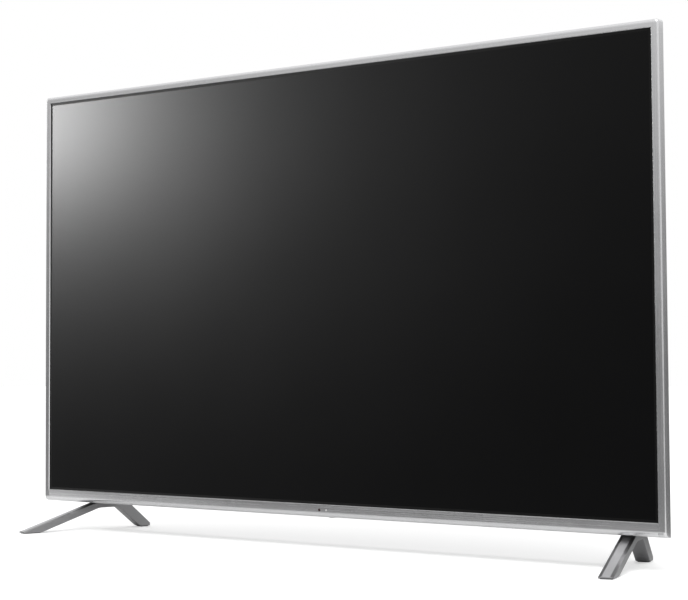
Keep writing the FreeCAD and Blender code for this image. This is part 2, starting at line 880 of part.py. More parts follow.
def make_board_parts():
    limits = board_limits()
    power_x, power_z = limits["power_board"]
    main_x, main_z = limits["main_board"]
    on_board = board_back
    capacitors = []
    for i in range(4):
        x = power_x[0] + s.capacitor_inset + s.capacitor_pitch * i
        capacitors.append(rod(f"capacitor_{i}", "y", s.capacitor_radius, x,
                              (on_board, on_board + s.capacitor_tall),
                              power_z[0] + s.capacitor_lift))
    node("power_capacitors", group("power_capacitors", capacitors))
    coils = []
    for i in range(2):
        x = power_x[0] + s.coil_inset + s.coil_pitch * i
        z = power_z[1] - s.coil_drop
        core = block(f"coil_core_{i}", (x - s.core_wide / 2, x + s.core_wide / 2),
                     (on_board, on_board + s.core_tall), (z - s.core_deep / 2, z + s.core_deep / 2))
        winding = block(f"coil_winding_{i}", (x - s.winding_wide / 2, x + s.winding_wide / 2),
                        (on_board + s.winding_step, on_board + s.core_tall - s.winding_step),
                        (z - s.winding_deep / 2, z + s.winding_deep / 2))
        coils.append(fuse(f"transformer_{i}", core, winding))
    node("power_transformers", group("power_transformers", coils))
    plates = []
    for i in range(2):
        z = power_z[0] + s.heatsink_lift + s.heatsink_pitch * i
        start = power_x[0] + s.heatsink_inset
        plates.append(block(f"heatsink_{i}", (start, start + s.heatsink_wide),
                            (on_board, on_board + s.heatsink_tall), (z, z + s.heatsink_thick)))
    node("power_heatsinks", group("power_heatsinks", plates))

    chip = (main_x[1] - s.cooler_inset - s.cooler_side, main_x[1] - s.cooler_inset)
    rise = (main_z[1] - s.cooler_drop - s.cooler_side, main_z[1] - s.cooler_drop)
    foot = block("cooler_foot", chip, (on_board, on_board + s.cooler_foot), rise)
    fins = []
    pitch = (s.cooler_side - s.cooler_fin) / 8
    for i in range(9):
        z = rise[0] + pitch * i
        fins.append(block(f"cooler_fin_{i}", chip, (on_board + s.cooler_foot / 2,
                                                    on_board + s.cooler_tall),
                          (z, z + s.cooler_fin)))
    node("processor_heatsink", fuse("processor_cooler", foot, *fins))
    tuner_x = (main_x[1] - s.tuner_inset - s.tuner_wide, main_x[1] - s.tuner_inset)
    tuner_z = rear_bay()[1][1] + s.bay_wall + s.tuner_gap
    node("tuner_can", block("tuner_case", tuner_x, (on_board, on_board + s.tuner_tall),
                            (tuner_z, tuner_z + s.tuner_deep)))


# Sockets, the plates round them and the recesses of the cover

def rear_bay():
    """Clear X and Z limits of the recess over the main board."""
    x, z = board_limits()["main_board"]
    low_x = x[0] + s.rear_bay_inset
    low_z = z[0] + s.rear_bay_lift
    return (low_x, low_x + s.rear_bay_wide), (low_z, low_z + s.rear_bay_tall)


def side_bay():
    """Outer face of the side recess on X, and its clear Z limits."""
    x, z = board_limits()["main_board"]
    low = z[0] + s.side_bay_lift
    return x[0] - s.side_bay_gap - s.bay_wall, (low, low + s.side_bay_tall)


def inlet_bay():
    """Clear X and Z limits of the recess over the mains inlet."""
    x, z = board_limits()["power_board"]
    high_x = x[1] - s.inlet_bay_inset
    low_z = z[0] + s.inlet_bay_inset
    return (high_x - s.inlet_bay_wide, high_x), (low_z, low_z + s.inlet_bay_tall)


def shrink(limits, by):
    return limits[0] + by, limits[1] - by


def rear_sockets():
    """Middle, width, height and hole of each box-shaped rear socket."""
    start = rear_bay()[0][0] + s.bay_window_margin
    return {
        "lan_socket": (start + s.lan_inset, s.lan_wide, s.lan_tall,
                       (s.lan_hole_wide, s.lan_hole_tall)),
        "optical_socket": (start + s.optical_inset, s.optical_side, s.optical_side,
                           (s.optical_hole, s.optical_hole)),
    }


def rear_jacks():
    start = rear_bay()[0][1] - s.bay_window_margin - s.jack_inset
    return [start - s.jack_pitch * step for step in range(5)]


def antenna_places():
    start = rear_bay()[0][1] - s.bay_window_margin - s.antenna_inset
    return [start - s.antenna_pitch * step for step in range(2)]


def around(middle, size):
    """Limits of this size about a middle."""
    return middle - size / 2, middle + size / 2


def round_socket(name, x, z, ends, radius, bore, foot):
    """A round socket on a square foot, bored from its outer end to its foot."""
    low, step, high = ends
    stem = rod(f"{name}_stem", "y", radius, x, (low, high), z)
    block_foot = block(f"{name}_foot", around(x, foot), (low, step), around(z, foot))
    hole = rod(f"{name}_hole", "y", bore, x, (step, high + 1), z)
    return cut(name, fuse(f"{name}_solid", stem, block_foot), hole)


def make_sockets():
    _, bay_z = rear_bay()
    middle = (bay_z[0] + bay_z[1]) / 2
    face = s.rear_bay_floor - s.bay_wall
    plate_y = (face - s.terminal_plate_thick, face)
    through = shrink(plate_y, -1)
    proud = face + s.socket_proud
    window = [shrink(limits, s.bay_window_margin - s.bay_wall) for limits in rear_bay()]
    slab = block("rear_plate_slab", window[0], plate_y, window[1])
    gap = 2 * s.fit_gap
    holes = []
    for name, (x, wide, tall, hole) in rear_sockets().items():
        shell = block(f"{name}_shell", around(x, wide), (board_back, proud), around(middle, tall))
        mouth = block(f"{name}_mouth", around(x, hole[0]), (proud - s.socket_deep, proud + 1),
                      around(middle, hole[1]))
        node(name, cut(f"{name}_case", shell, mouth))
        holes.append(block(f"{name}_window", around(x, wide + gap), through,
                           around(middle, tall + gap)))
    jacks = []
    for i, x in enumerate(rear_jacks()):
        ends = (board_back, plate_y[0], proud + s.jack_reach)
        jacks.append(round_socket(f"jack_{i}", x, middle, ends, s.jack_radius, s.jack_bore,
                                  s.jack_foot))
        holes.append(rod(f"jack_window_{i}", "y", s.jack_radius + s.fit_gap, x, through, middle))
    node("av_jacks", group("av_jacks_group", jacks))
    sockets = []
    for i, x in enumerate(antenna_places()):
        ends = (board_back, plate_y[0], proud + s.antenna_reach)
        sockets.append(round_socket(f"antenna_{i}", x, middle, ends, s.antenna_radius,
                                    s.antenna_bore, s.antenna_foot))
        holes.append(rod(f"antenna_window_{i}", "y", s.antenna_radius + s.fit_gap, x, through,
                         middle))
    node("antenna_sockets", group("antenna_sockets_group", sockets))
    node("rear_terminal_plate", cut("rear_plate", slab, *holes))


def make_side_sockets():
    """Sockets on the outer edge of the main board, facing sideways."""
    floor_x, bay_z = side_bay()
    board_x = board_limits()["main_board"][0][0]
    plate_x = (floor_x + s.bay_wall, floor_x + s.bay_wall + s.terminal_plate_thick)
    through = shrink(plate_x, -1)
    proud = plate_x[0] - s.socket_proud
    plate_y = (thin_back, board_back + s.side_window_deep)
    plate_z = shrink(bay_z, s.bay_window_margin - s.bay_wall)
    slab = block("side_plate_slab", plate_x, plate_y, plate_z)
    video = [bay_z[0] + s.side_socket_inset + s.side_socket_pitch * step for step in range(3)]
    data = [bay_z[1] - s.side_socket_inset]
    kinds = {
        "hdmi_sockets": (s.video_long, s.video_tall, s.video_hole_long, s.video_hole_tall, video),
        "usb_sockets": (s.data_long, s.data_tall, s.data_hole_long, s.data_hole_tall, data),
    }
    holes = []
    for name, (long, tall, hole_long, hole_tall, rises) in kinds.items():
        solids = []
        y = board_back + tall / 2
        for i, z in enumerate(rises):
            shell = block(f"{name}_shell_{i}", (proud, board_x + s.socket_foot),
                          around(y, tall), around(z, long))
            mouth = block(f"{name}_mouth_{i}", (proud - 1, proud + s.socket_deep),
                          around(y, hole_tall), around(z, hole_long))
            solids.append(cut(f"{name}_{i}", shell, mouth))
            holes.append(block(f"{name}_window_{i}", through, around(y, tall + 2 * s.fit_gap),
                               around(z, long + 2 * s.fit_gap)))
        node(name, group(f"{name}_group", solids))
    node("side_terminal_plate", cut("side_plate", slab, *holes))


def make_inlet():
    """A two-pin mains inlet that stands on the power board."""
    x, z = inlet_bay()
    mid_x = (x[0] + x[1]) / 2
    mid_z = (z[0] + z[1]) / 2
    end = s.inlet_bay_floor + s.socket_proud
    shell = block("inlet_shell", (mid_x - s.inlet_wide / 2, mid_x + s.inlet_wide / 2),
                  (board_back, end), (mid_z - s.inlet_tall / 2, mid_z + s.inlet_tall / 2))
    mouth = block("inlet_mouth", (mid_x - s.inlet_hole_wide / 2, mid_x + s.inlet_hole_wide / 2),
                  (end - s.inlet_hole_deep, end + 1),
                  (mid_z - s.inlet_hole_tall / 2, mid_z + s.inlet_hole_tall / 2))
    pins = [rod(f"inlet_pin_{side + 1}", "y", s.inlet_pin_radius,
                mid_x + side * s.inlet_pin_spacing / 2,
                (end - s.inlet_hole_deep - 1, end - 2), mid_z) for side in (-1, 1)]
    node("mains_inlet", fuse("mains_inlet", cut("inlet_case", shell, mouth), *pins))


# Rear cover

def add_box(body, kind, x, y, z):
    item = body.newObject(f"PartDesign::{kind}Box", f"{kind.lower()}_box")
    bind(item, Length=x[1] - x[0], Width=y[1] - y[0], Height=z[1] - z[0])
    return place(item, x[0], y[0], z[0])


def add_rod(body, kind, axis, radius, x, y, z):
    item = body.newObject(f"PartDesign::{kind}Cylinder", f"{kind.lower()}_rod")
    item.Placement = FreeCAD.Placement(FreeCAD.Vector(), TURNS[axis])
    spot = {"x": x, "y": y, "z": z}
    low, high = spot[axis]
    bind(item, Radius=radius, Height=high - low)
    start = {**spot, axis: low}
    return place(item, start["x"], start["y"], start["z"])


def add_wedge(body, kind, y, front_limits, back_limits):
    item = body.newObject(f"PartDesign::{kind}Wedge", f"{kind.lower()}_wedge")
    return bind_wedge(item, y, front_limits, back_limits)


def spread(half):
    return -half, half


def foot_spot(side, along):
    """X and Y of a point this far behind the foot's middle, along the foot."""
    x = side * (foot_side - sine(s.foot_splay) * along)
    return x, cosine(s.foot_splay) * along


def make_rear_cover():
    body = doc.addObject("PartDesign::Body", "rear_cover")
    rim_half = half_wide - s.cover_rim_inset
    rim_top = top - s.cover_rim_inset
    thin_half = half_wide - s.thin_side_inset
    thin_top = top - s.thin_top_inset
    bulge_half = half_wide - s.bulge_side_inset
    bulge_top = top - s.bulge_top_drop
    rear_half = bulge_half - s.bulge_side_slope
    thin_inside = thin_back - s.cover_wall
    thick = s.cover_slope_wall

    # outside: a thin tapered pan, and the deeper housing on its back
    add_wedge(body, "Additive", (join, thin_back),
              (spread(rim_half), (base, rim_top)), (spread(thin_half), (base, thin_top)))
    housing = add_wedge(body, "Additive", (thin_back, back),
                        (spread(bulge_half), (base, bulge_top)),
                        (spread(rear_half), (base, rear_top)))
    corners = edges_where(housing, lambda edge: near(edge.CenterOfMass.y, back)
                          and edge.CenterOfMass.z > base.value + 1)
    soften(body, housing, "Fillet", corners, Radius=s.bulge_edge_round)

    # inside: the same two shapes, a wall smaller
    add_wedge(body, "Subtractive", (join, thin_inside),
              (spread(rim_half - thick), (floor_top, rim_top - thick)),
              (spread(thin_half - thick), (floor_top, thin_top - thick)))
    wall = s.housing_slope_wall
    add_wedge(body, "Subtractive", (thin_inside, cover_inside),
              (spread(bulge_half - wall), (floor_top, bulge_top - wall)),
              (spread(rear_half - wall), (floor_top, rear_top - wall)))

    # recess over the main board for the rear sockets
    bay_x, bay_z = rear_bay()
    add_box(body, "Additive", shrink(bay_x, -s.bay_wall),
            (s.rear_bay_floor - s.bay_wall, back), shrink(bay_z, -s.bay_wall))
    add_box(body, "Subtractive", bay_x, (s.rear_bay_floor, back + 1), bay_z)
    add_box(body, "Subtractive", shrink(bay_x, s.bay_window_margin),
            (s.rear_bay_floor - s.bay_wall - 1, s.rear_bay_floor + 1),
            shrink(bay_z, s.bay_window_margin))

    # recess in the flank for the side sockets
    floor_x, flank_z = side_bay()
    flank_outer = shrink(flank_z, -s.bay_wall)
    inner_x = floor_x + s.bay_wall
    add_wedge(body, "Additive", (thin_inside, back),
              ((-bulge_half, inner_x), flank_outer), ((-rear_half, inner_x), flank_outer))
    add_box(body, "Subtractive", (-half_wide, floor_x), (thin_back, back + 1), flank_z)
    add_box(body, "Subtractive", (floor_x - 1, inner_x + 1),
            (board_back - 1, board_back + s.side_window_deep - s.bay_wall),
            shrink(flank_z, s.bay_window_margin))

    # recess over the mains inlet
    inlet_x, inlet_z = inlet_bay()
    mid_x = (inlet_x[0] + inlet_x[1]) / 2
    mid_z = (inlet_z[0] + inlet_z[1]) / 2
    add_box(body, "Additive", shrink(inlet_x, -s.bay_wall),
            (s.inlet_bay_floor - s.bay_wall, back), shrink(inlet_z, -s.bay_wall))
    add_box(body, "Subtractive", inlet_x, (s.inlet_bay_floor, back + 1), inlet_z)
    reach_x = s.inlet_wide / 2 + s.fit_gap
    reach_z = s.inlet_tall / 2 + s.fit_gap
    add_box(body, "Subtractive", (mid_x - reach_x, mid_x + reach_x),
            (s.inlet_bay_floor - s.bay_wall - 1, s.inlet_bay_floor + 1),
            (mid_z - reach_z, mid_z + reach_z))

    # wells for the long-reach screws, and plain holes for the upper ones
    spots = cover_screw_spots()
    for x, z in spots[:4]:
        add_rod(body, "Additive", "y", s.well_radius + s.well_wall, x, (thin_inside, back), z)
        add_rod(body, "Subtractive", "y", s.well_radius, x, (thin_back, back + 1), z)
    for x, z in spots:
        add_rod(body, "Subtractive", "y", s.cover_screw_radius + s.fit_gap, x,
                (thin_inside - 1, thin_back + 1), z)

    # openings for the wall mount, the foot screws and the control stick
    for x, z in wall_spots():
        add_rod(body, "Subtractive", "y", s.wall_post_radius + s.fit_gap, x,
                (cover_inside - 1, back + 1), z)
    for side in SIDES.values():
        for along in (s.foot_screw_first, s.foot_screw_second):
            x, y = foot_spot(side, along)
            add_rod(body, "Subtractive", "z", s.foot_screw_radius + s.foot_screw_hole_gap, x, y,
                    (base - 1, floor_top + 1))
    add_rod(body, "Subtractive", "z", s.stick_knob_radius + s.stick_hole_gap, as_size(0),
            s.stick_setback, (base - 1, floor_top + 1))

    # sound slots under each driver
    for side in SIDES.values():
        slot = s.sound_slot_wide / 2
        reach = s.sound_slot_pitch * (s.sound_slot_count - 1)
        start = side * driver_side() - reach / 2
        depth = speaker_middle()
        limits = rectangle((start - slot, start + slot),
                           (depth - s.sound_slot_long / 2, depth + s.sound_slot_long / 2))
        sketch = outline(body, "XY_Plane", limits, base - 1)
        hole = pocket(body, sketch, s.cover_wall + 2, Reversed=True)
        repeat(body, sketch, hole, reach, s.sound_slot_count)

    # upright vents along the top of the housing
    reach = s.vent_pitch * (s.vent_count - 1)
    high = rear_top - s.vent_drop
    half_slot = s.vent_wide / 2
    vent = outline(body, "XZ_Plane", rectangle((-reach / 2 - half_slot, half_slot - reach / 2),
                                               (high - s.vent_tall, high)), -back - 1)
    hole = pocket(body, vent, s.cover_wall + 2, Reversed=True)
    repeat(body, vent, hole, reach, s.vent_count)
    node("rear_cover", body)


def repeat(body, sketch, feature, reach, count):
    pattern = body.newObject("PartDesign::LinearPattern", f"{body.Name}_pattern")
    pattern.Originals = [feature]
    pattern.Direction = (sketch, ["H_Axis"])
    bind(pattern, Length=reach, Occurrences=count)
    body.Tip = pattern


def wall_spots():
    middle = (base + rear_top) / 2 + s.wall_centre_lift
    half = s.wall_spacing / 2
    return [(i * half, middle + j * half) for i in (-1, 1) for j in (-1, 1)]


def make_cover_fixings():
    posts = []
    for i, (x, z) in enumerate(wall_spots()):
        end = back - s.wall_post_recess
        post = rod(f"wall_post_{i}", "y", s.wall_post_radius, x, (tray_back, end), z)
        bore = rod(f"wall_bore_{i}", "y", s.wall_thread_radius, x,
                   (end - s.wall_thread_deep, end + 1), z)
        posts.append(cut(f"wall_nut_{i}", post, bore))
    node("wall_mount_posts", group("wall_mount_posts", posts))
    screws = []
    for i, (x, z) in enumerate(cover_screw_spots()):
        head = rod(f"cover_screw_head_{i}", "y", s.cover_screw_head_radius, x,
                   (thin_back, thin_back + s.cover_screw_head_tall), z)
        shank = rod(f"cover_screw_shank_{i}", "y", s.cover_screw_radius - s.plug_gap, x,
                    (tray_back + 0.5, thin_back), z)
        screws.append(fuse(f"cover_screw_{i}", head, shank))
    node("rear_cover_screws", group("rear_cover_screws", screws))


# Speakers: a box on each side, with a driver that faces down

def speaker_depth():
    return tray_back + s.speaker_front_gap, cover_inside - s.speaker_back_gap


def speaker_middle():
    low, high = speaker_depth()
    return (low + high) / 2


def driver_side():
    return s.speaker_inner + s.driver_inset


def make_speakers():
    depth = speaker_depth()
    y = speaker_middle()
    low = floor_top + s.speaker_wall
    hole_radius = s.cone_radius + s.cone_gap
    baskets = []
    magnets = []
    for tag, side in SIDES.items():
        x = mirrored(side, s.speaker_inner, s.speaker_inner + s.speaker_wide)
        z = (floor_top, floor_top + s.speaker_tall)
        shell = block(f"speaker_shell_{tag}", x, depth, z)
        inside = block(f"speaker_inside_{tag}", shrink(x, s.speaker_wall),
                       shrink(depth, s.speaker_wall), shrink(z, s.speaker_wall))
        middle = side * driver_side()
        mouth = rod(f"speaker_mouth_{tag}", "z", hole_radius + 1, middle, y, (floor_top - 1, low + 1))
        node(f"speaker_box_{tag}", cut(f"speaker_box_{tag}", shell, inside, mouth))

        rim = rod(f"basket_rim_{tag}", "z", hole_radius + s.basket_flange, middle, y,
                  (low, low + s.basket_flange_thick))
        neck = low + s.basket_deep - s.basket_wall
        narrow = s.magnet_radius - s.magnet_overlap
        cup = cone(f"basket_cup_{tag}", "z", hole_radius + s.basket_wall, narrow + s.basket_wall,
                   middle, y, (low, low + s.basket_deep))
        bowl = cone(f"basket_bowl_{tag}", "z", hole_radius, narrow, middle, y, (low, neck))
        baskets.append(cut(f"basket_{tag}", fuse(f"basket_solid_{tag}", rim, cup), bowl))
        magnets.append(rod(f"magnet_{tag}", "z", s.magnet_radius, middle, y,
                           (low + s.basket_deep, low + s.basket_deep + s.magnet_tall)))

        start = low + s.cone_rise
        end = start + s.cone_deep
        outside = cone(f"cone_outside_{tag}", "z", s.cone_radius, s.coil_radius, middle, y,
                       (start, end))
        coil = rod(f"coil_{tag}", "z", s.coil_radius, middle, y, (end, end + s.coil_tall))
        inner = cone(f"cone_inside_{tag}", "z", s.cone_radius - s.cone_skin,
                     s.coil_radius - s.cone_skin, middle, y, (start, end))
        bore = rod(f"coil_bore_{tag}", "z", s.coil_radius - s.cone_skin, middle, y,
                   (end, end + s.coil_tall - s.cone_skin))
        node(f"speaker_cone_{tag}", cut(f"speaker_cone_{tag}",
                                        fuse(f"cone_solid_{tag}", outside, coil), inner, bore))
    node("speaker_baskets", group("speaker_baskets", baskets))
    node("speaker_magnets", group("speaker_magnets", magnets))


# Control stick: a knob that tips two ways on a gimbal and presses in

def make_control_stick():
    y = s.stick_setback
    half = s.stick_case_side / 2
    pivot = floor_top + s.stick_pivot_rise
    case_z = (floor_top, floor_top + s.stick_case_tall)
    square = (y - half, y + half)
    shell = block("stick_case_shell", spread(half), square, case_z)
    inner_half = half - s.stick_case_wall
    inside_z = (floor_top - 1, case_z[1] - s.stick_case_wall)
    inside = block("stick_case_inside", spread(inner_half), (y - inner_half, y + inner_half), inside_z)
    bore = rod("stick_case_bore", "x", s.stick_pin_radius + s.running_gap, spread(half + 1), y, pivot)
    node("stick_case", cut("stick_case", shell, inside, bore))
    board_z = (case_z[1], case_z[1] + s.sensor_board_thick)
    node("stick_board", block("stick_board", spread(half), square, board_z))

    ring_half = s.stick_ring_side / 2
    ring_z = (pivot - s.stick_ring_tall / 2, pivot + s.stick_ring_tall / 2)
    hole_half = ring_half - s.stick_ring_wall
    ring = block("ring_outside", spread(ring_half), (y - ring_half, y + ring_half), ring_z)
    hole = block("ring_hole", spread(hole_half), (y - hole_half, y + hole_half),
                 (ring_z[0] - 1, ring_z[1] + 1))
    bore = rod("ring_bore", "y", s.stick_pin_radius + s.running_gap, as_size(0),
               (y - ring_half - 1, y + ring_half + 1), pivot)
    frame = cut("ring_frame", ring, hole, bore)
    pins = [rod(f"ring_pin_{side + 1}", "x", s.stick_pin_radius,
                mirrored(side, hole_half, half - s.stick_end_gap), y, pivot) for side in (-1, 1)]
    node("stick_gimbal", fuse("stick_gimbal", frame, *pins))

    hub_half = s.stick_hub_side / 2
    cube = block("hub_cube", spread(hub_half), (y - hub_half, y + hub_half), ring_z)
    axle = rod("hub_axle", "y", s.stick_pin_radius, as_size(0),
               (y - ring_half + s.stick_end_gap, y + ring_half - s.stick_end_gap), pivot)
    bore = rod("hub_bore", "z", s.stick_stem_radius + s.running_gap, as_size(0), y,
               (ring_z[0] - 1, ring_z[1] + 1))
    node("stick_hub", cut("stick_hub", fuse("hub_solid", cube, axle), bore))

    knob_z = (base - s.stick_knob_proud, base - s.stick_knob_proud + s.stick_knob_tall)
    stem_end = case_z[1] - s.stick_case_wall - s.stick_press - s.stick_end_gap
    head = rod("knob_head", "z", s.stick_knob_radius, as_size(0), y, knob_z)
    stem = rod("knob_stem", "z", s.stick_stem_radius, as_size(0), y, (knob_z[0] + 1, stem_end))
    node("stick_knob", fuse("stick_knob", head, stem))


# Leads: round cables on straight runs joined by tangent arcs

def lead_wire(points):
    """A wire through points, with an arc as large as its two runs allow at each turn."""
    spots = [FreeCAD.Vector(*(as_size(length).value for length in point)) for point in points]
    edges = []
    radii = []
    start = spots[0]
    for before, corner, after in zip(spots, spots[1:], spots[2:]):
        back_way = (before - corner).normalize()
        on_way = (after - corner).normalize()
        half_turn = (math.pi - back_way.getAngle(on_way)) / 2
        tangent = 0.45 * min(before.distanceToPoint(corner), after.distanceToPoint(corner))
        radius = tangent / math.tan(half_turn)
        enter = corner + back_way * tangent
        leave = corner + on_way * tangent
        middle_way = (back_way + on_way).normalize()
        middle = corner + middle_way * (radius / math.cos(half_turn) - radius)
        edges.append(Part.LineSegment(start, enter).toShape())
        edges.append(Part.Arc(enter, middle, leave).toShape())
        radii.append(radius)
        start = leave
    edges.append(Part.LineSegment(start, spots[-1]).toShape())
    return Part.Wire(edges), radii


def lead(name, points, radius):
    """A round cable along a route; its volume is checked against section times length."""
    wire, radii = lead_wire(points)
    start = wire.Edges[0].Vertexes[0].Point
    direction = wire.Edges[0].tangentAt(wire.Edges[0].FirstParameter)
    circle = Part.Wire(Part.makeCircle(radius.value, start, direction))
    tube = wire.makePipeShell([circle], True, False)
    ideal = math.pi * radius.value ** 2 * wire.Length
    print(f"{name}: length {wire.Length:.0f}, volume ratio {tube.Volume / ideal:.4f},",
          "radii", " ".join(f"{value:.0f}" for value in radii))
    item = doc.addObject("Part::Feature", name)
    item.Shape = tube
    item.Placement = FreeCAD.Placement()
    return item


def plug(name, x, z, face):
    """A lead's plug that stands on a board or the tray."""
    half = s.plug_wide / 2
    return block(name, (x - half, x + half), (face, face + s.plug_tall), (z, z + s.plug_long))


def make_leads():
    limits = board_limits()
    power_x, power_z = limits["power_board"]
    main_x, main_z = limits["main_board"]
    level = board_back + s.plug_tall / 2
    lie = tray_back + s.harness_radius + s.fit_gap
    run = power_x[0] - main_x[1]
    harness_z = main_z[0] + s.harness_lift
    sway = s.lead_sway
    lifts = (0, 6, -4, 8, -3, 5, 0)
    points = [(main_x[1] - s.plug_long, level, harness_z)]
    for i, lift in enumerate(lifts):
        share = (i + 0.5) / len(lifts)
        y = level if i in (0, len(lifts) - 1) else lie
        points.append((main_x[1] + run * share, y, harness_z + sway * lift))
    points.append((power_x[0] + s.plug_long, level, harness_z))
    half = s.plug_wide / 2
    on_board = (board_back, board_back + s.plug_tall)
    ends = [
        block("harness_plug_main", (main_x[1] - 2 * s.plug_long, main_x[1] - s.plug_long),
              on_board, (harness_z - half, harness_z + half)),
        block("harness_plug_power", (power_x[0] + s.plug_long, power_x[0] + 2 * s.plug_long),
              on_board, (harness_z - half, harness_z + half)),
    ]
    tube = lead("power_harness_tube", points, s.harness_radius)
    node("power_harness", group("power_harness_group", [tube, *ends]))

    x = power_x[0] + s.light_lead_inset
    high = power_z[0] + s.plug_long
    low = power_z[0] - s.light_lead_drop
    fall = high - low
    light_route = [
        (x, level, high),
        (x + sway * 2, level + sway, high - fall * 0.29),
        (x - sway * 6, lie + sway, high - fall * 0.65),
        (x - sway * 2, tray_back + s.plug_tall / 2, low),
    ]
    light_tube = lead("light_harness_tube", light_route, s.light_lead_radius)
    ends = [plug("light_plug_high", x, high, board_back),
            plug("light_plug_low", x, low - s.plug_long, tray_back)]
    node("light_harness", group("light_harness_group", [light_tube, *ends]))

    box_y = speaker_depth()[0] + s.speaker_lead_inset
    box_z = floor_top + s.speaker_tall
    left_x = s.speaker_lead_inset * 2 - s.speaker_inner - s.speaker_wide
    right_x = s.speaker_inner + s.speaker_lead_inset * 2
    entry = main_z[0] + s.plug_long
    rise = entry - box_z
    left_route = [
        (left_x, box_y, box_z),
        (left_x + sway * 2, box_y, box_z + rise * 0.19),
        (left_x - sway * 6, lie + sway * 2, box_z + rise * 0.47),
        (left_x + sway * 6, lie + sway * 2, box_z + rise * 0.72),
        (left_x + sway * 4, level, box_z + rise * 0.81),
        (left_x + sway * 5, level, entry),
    ]
    start_x = main_x[1] - s.plug_long
    start_z = entry + s.plug_wide / 2
    span = right_x - start_x
    right_route = [(start_x, level, start_z)]
    for share, y, drop in (
        (0.06, level, -1), (0.14, lie + sway, 20), (0.27, lie, 25), (0.40, lie, 20),
        (0.53, lie, 26), (0.66, lie, 20), (0.79, lie, 25), (0.91, lie, 36),
        (0.98, lie + sway * 2, 68),
    ):
        right_route.append((start_x + span * share, y, start_z - sway * drop))
    right_route.append((right_x - sway * 2, box_y - sway * 4, box_z + s.speaker_lead_rise))
    right_route.append((right_x, box_y, box_z))
    solids = [
        lead("speaker_lead_left", left_route, s.speaker_lead_radius),
        plug("speaker_plug_left", left_x + sway * 5, entry, board_back),
        lead("speaker_lead_right", right_route, s.speaker_lead_radius),
        block("speaker_plug_right", (start_x - s.plug_long, start_x), on_board,
              around(start_z, s.plug_wide)),
    ]
    node("speaker_leads", group("speaker_leads_group", solids))


# Feet, their pads, brackets and screws

def make_feet():
    screws = []
    pads = []
    for tag, side in SIDES.items():
        angle = side * s.foot_splay
        body = doc.addObject("PartDesign::Body", f"leg_{tag}")
        settle(body, side, angle)
        foot_low = s.pad_thick
        profile = [
            (-s.foot_reach, foot_low),
            (-s.foot_reach, foot_low + s.foot_front_nose),
            (s.foot_land_start, base),
            (s.foot_land_end, base),
            (s.foot_reach, foot_low + s.foot_rear_nose),
            (s.foot_reach, foot_low),
            (s.foot_reach - s.foot_rear_contact, foot_low),
            (s.foot_arch_end, s.foot_arch_rise),
            (s.foot_arch_start, s.foot_arch_rise),
            (s.foot_front_contact - s.foot_reach, foot_low),
        ]
        leg = pad(body, outline(body, "YZ_Plane", profile), s.foot_wide, Midplane=True)
        for place_y, radius in ((s.foot_arch_start, s.foot_arch_front_round),
                                (s.foot_arch_end, s.foot_arch_rear_round)):
            crease = edges_where(leg, lambda edge, y=place_y: near(edge.CenterOfMass.y, y)
                                 and near(edge.CenterOfMass.z, s.foot_arch_rise))
            leg = soften(body, leg, "Fillet", crease, Radius=radius)
        noses = (foot_low + s.foot_front_nose).value, (foot_low + s.foot_rear_nose).value
        upper = edges_where(leg, lambda edge: is_upper(edge, *noses))
        bevel = soften(body, leg, "Chamfer", upper)
        bevel.ChamferType = "Two distances"
        bevel.FlipDirection = True
        bind(bevel, Size=s.foot_bevel_wide, Size2=s.foot_bevel_deep)
        holes = []
        seat = s.foot_arch_rise + s.foot_screw_sink
        for i, along in enumerate((s.foot_screw_first, s.foot_screw_second)):
            x, y = foot_spot(side, along)
            name = f"{tag}_{i}"
            sink = s.foot_screw_head_radius + s.foot_screw_hole_gap
            holes.append(rod(f"foot_sink_{name}", "z", sink, x, y, (foot_low, seat)))
            holes.append(rod(f"foot_hole_{name}", "z", s.foot_screw_radius + s.foot_screw_hole_gap,
                             x, y, (seat - 1, base + 1)))
            head = rod(f"foot_screw_head_{name}", "z", s.foot_screw_head_radius, x, y,
                       (seat - s.foot_screw_head_tall, seat))
            end = floor_top + s.bracket_floor + s.foot_screw_end
            shank = rod(f"foot_screw_shank_{name}", "z", s.foot_screw_radius, x, y, (seat, end))
            screws.append(fuse(f"foot_screw_{name}", head, shank))
        node(f"foot_{tag}", cut(f"foot_{tag}_drilled", body, *holes))

        middle = foot_spot(side, (s.foot_screw_first + s.foot_screw_second) / 2)[0]
        angle_body = doc.addObject("PartDesign::Body", f"bracket_{tag}")
        section = [
            (tray_back, floor_top),
            (cover_inside - s.fit_gap, floor_top),
            (cover_inside - s.fit_gap, floor_top + s.bracket_floor),
            (tray_back + s.bracket_plate, floor_top + s.bracket_floor),
            (tray_back + s.bracket_plate, floor_top + s.bracket_tall),
            (tray_back, floor_top + s.bracket_tall),
        ]
        pad(angle_body, outline(angle_body, "YZ_Plane", section, middle - s.bracket_wide / 2),
            s.bracket_wide)
        threads = [rod(f"bracket_thread_{tag}_{i}", "z", s.foot_screw_radius + s.running_gap,
                       *foot_spot(side, along),
                       (floor_top - 1, floor_top + s.bracket_floor + 1))
                   for i, along in enumerate((s.foot_screw_first, s.foot_screw_second))]
        node(f"foot_bracket_{tag}", cut(f"bracket_{tag}_drilled", angle_body, *threads))

        ends = ((s.pad_margin - s.foot_reach,
                 s.foot_front_contact - s.foot_reach - s.pad_margin),
                (s.foot_reach - s.foot_rear_contact + s.pad_margin,
                 s.foot_reach - s.pad_margin))
        for i, end in enumerate(ends):
            pad_body = doc.addObject("PartDesign::Body", f"pad_{tag}_{i}")
            settle(pad_body, side, angle)
            half = s.foot_wide / 2 - s.pad_margin
            pad(pad_body, outline(pad_body, "XY_Plane", rectangle(spread(half), end)), foot_low)
            pads.append(pad_body)
    node("foot_screws", group("foot_screws", screws))
    node("foot_pads", group("foot_pads", pads))


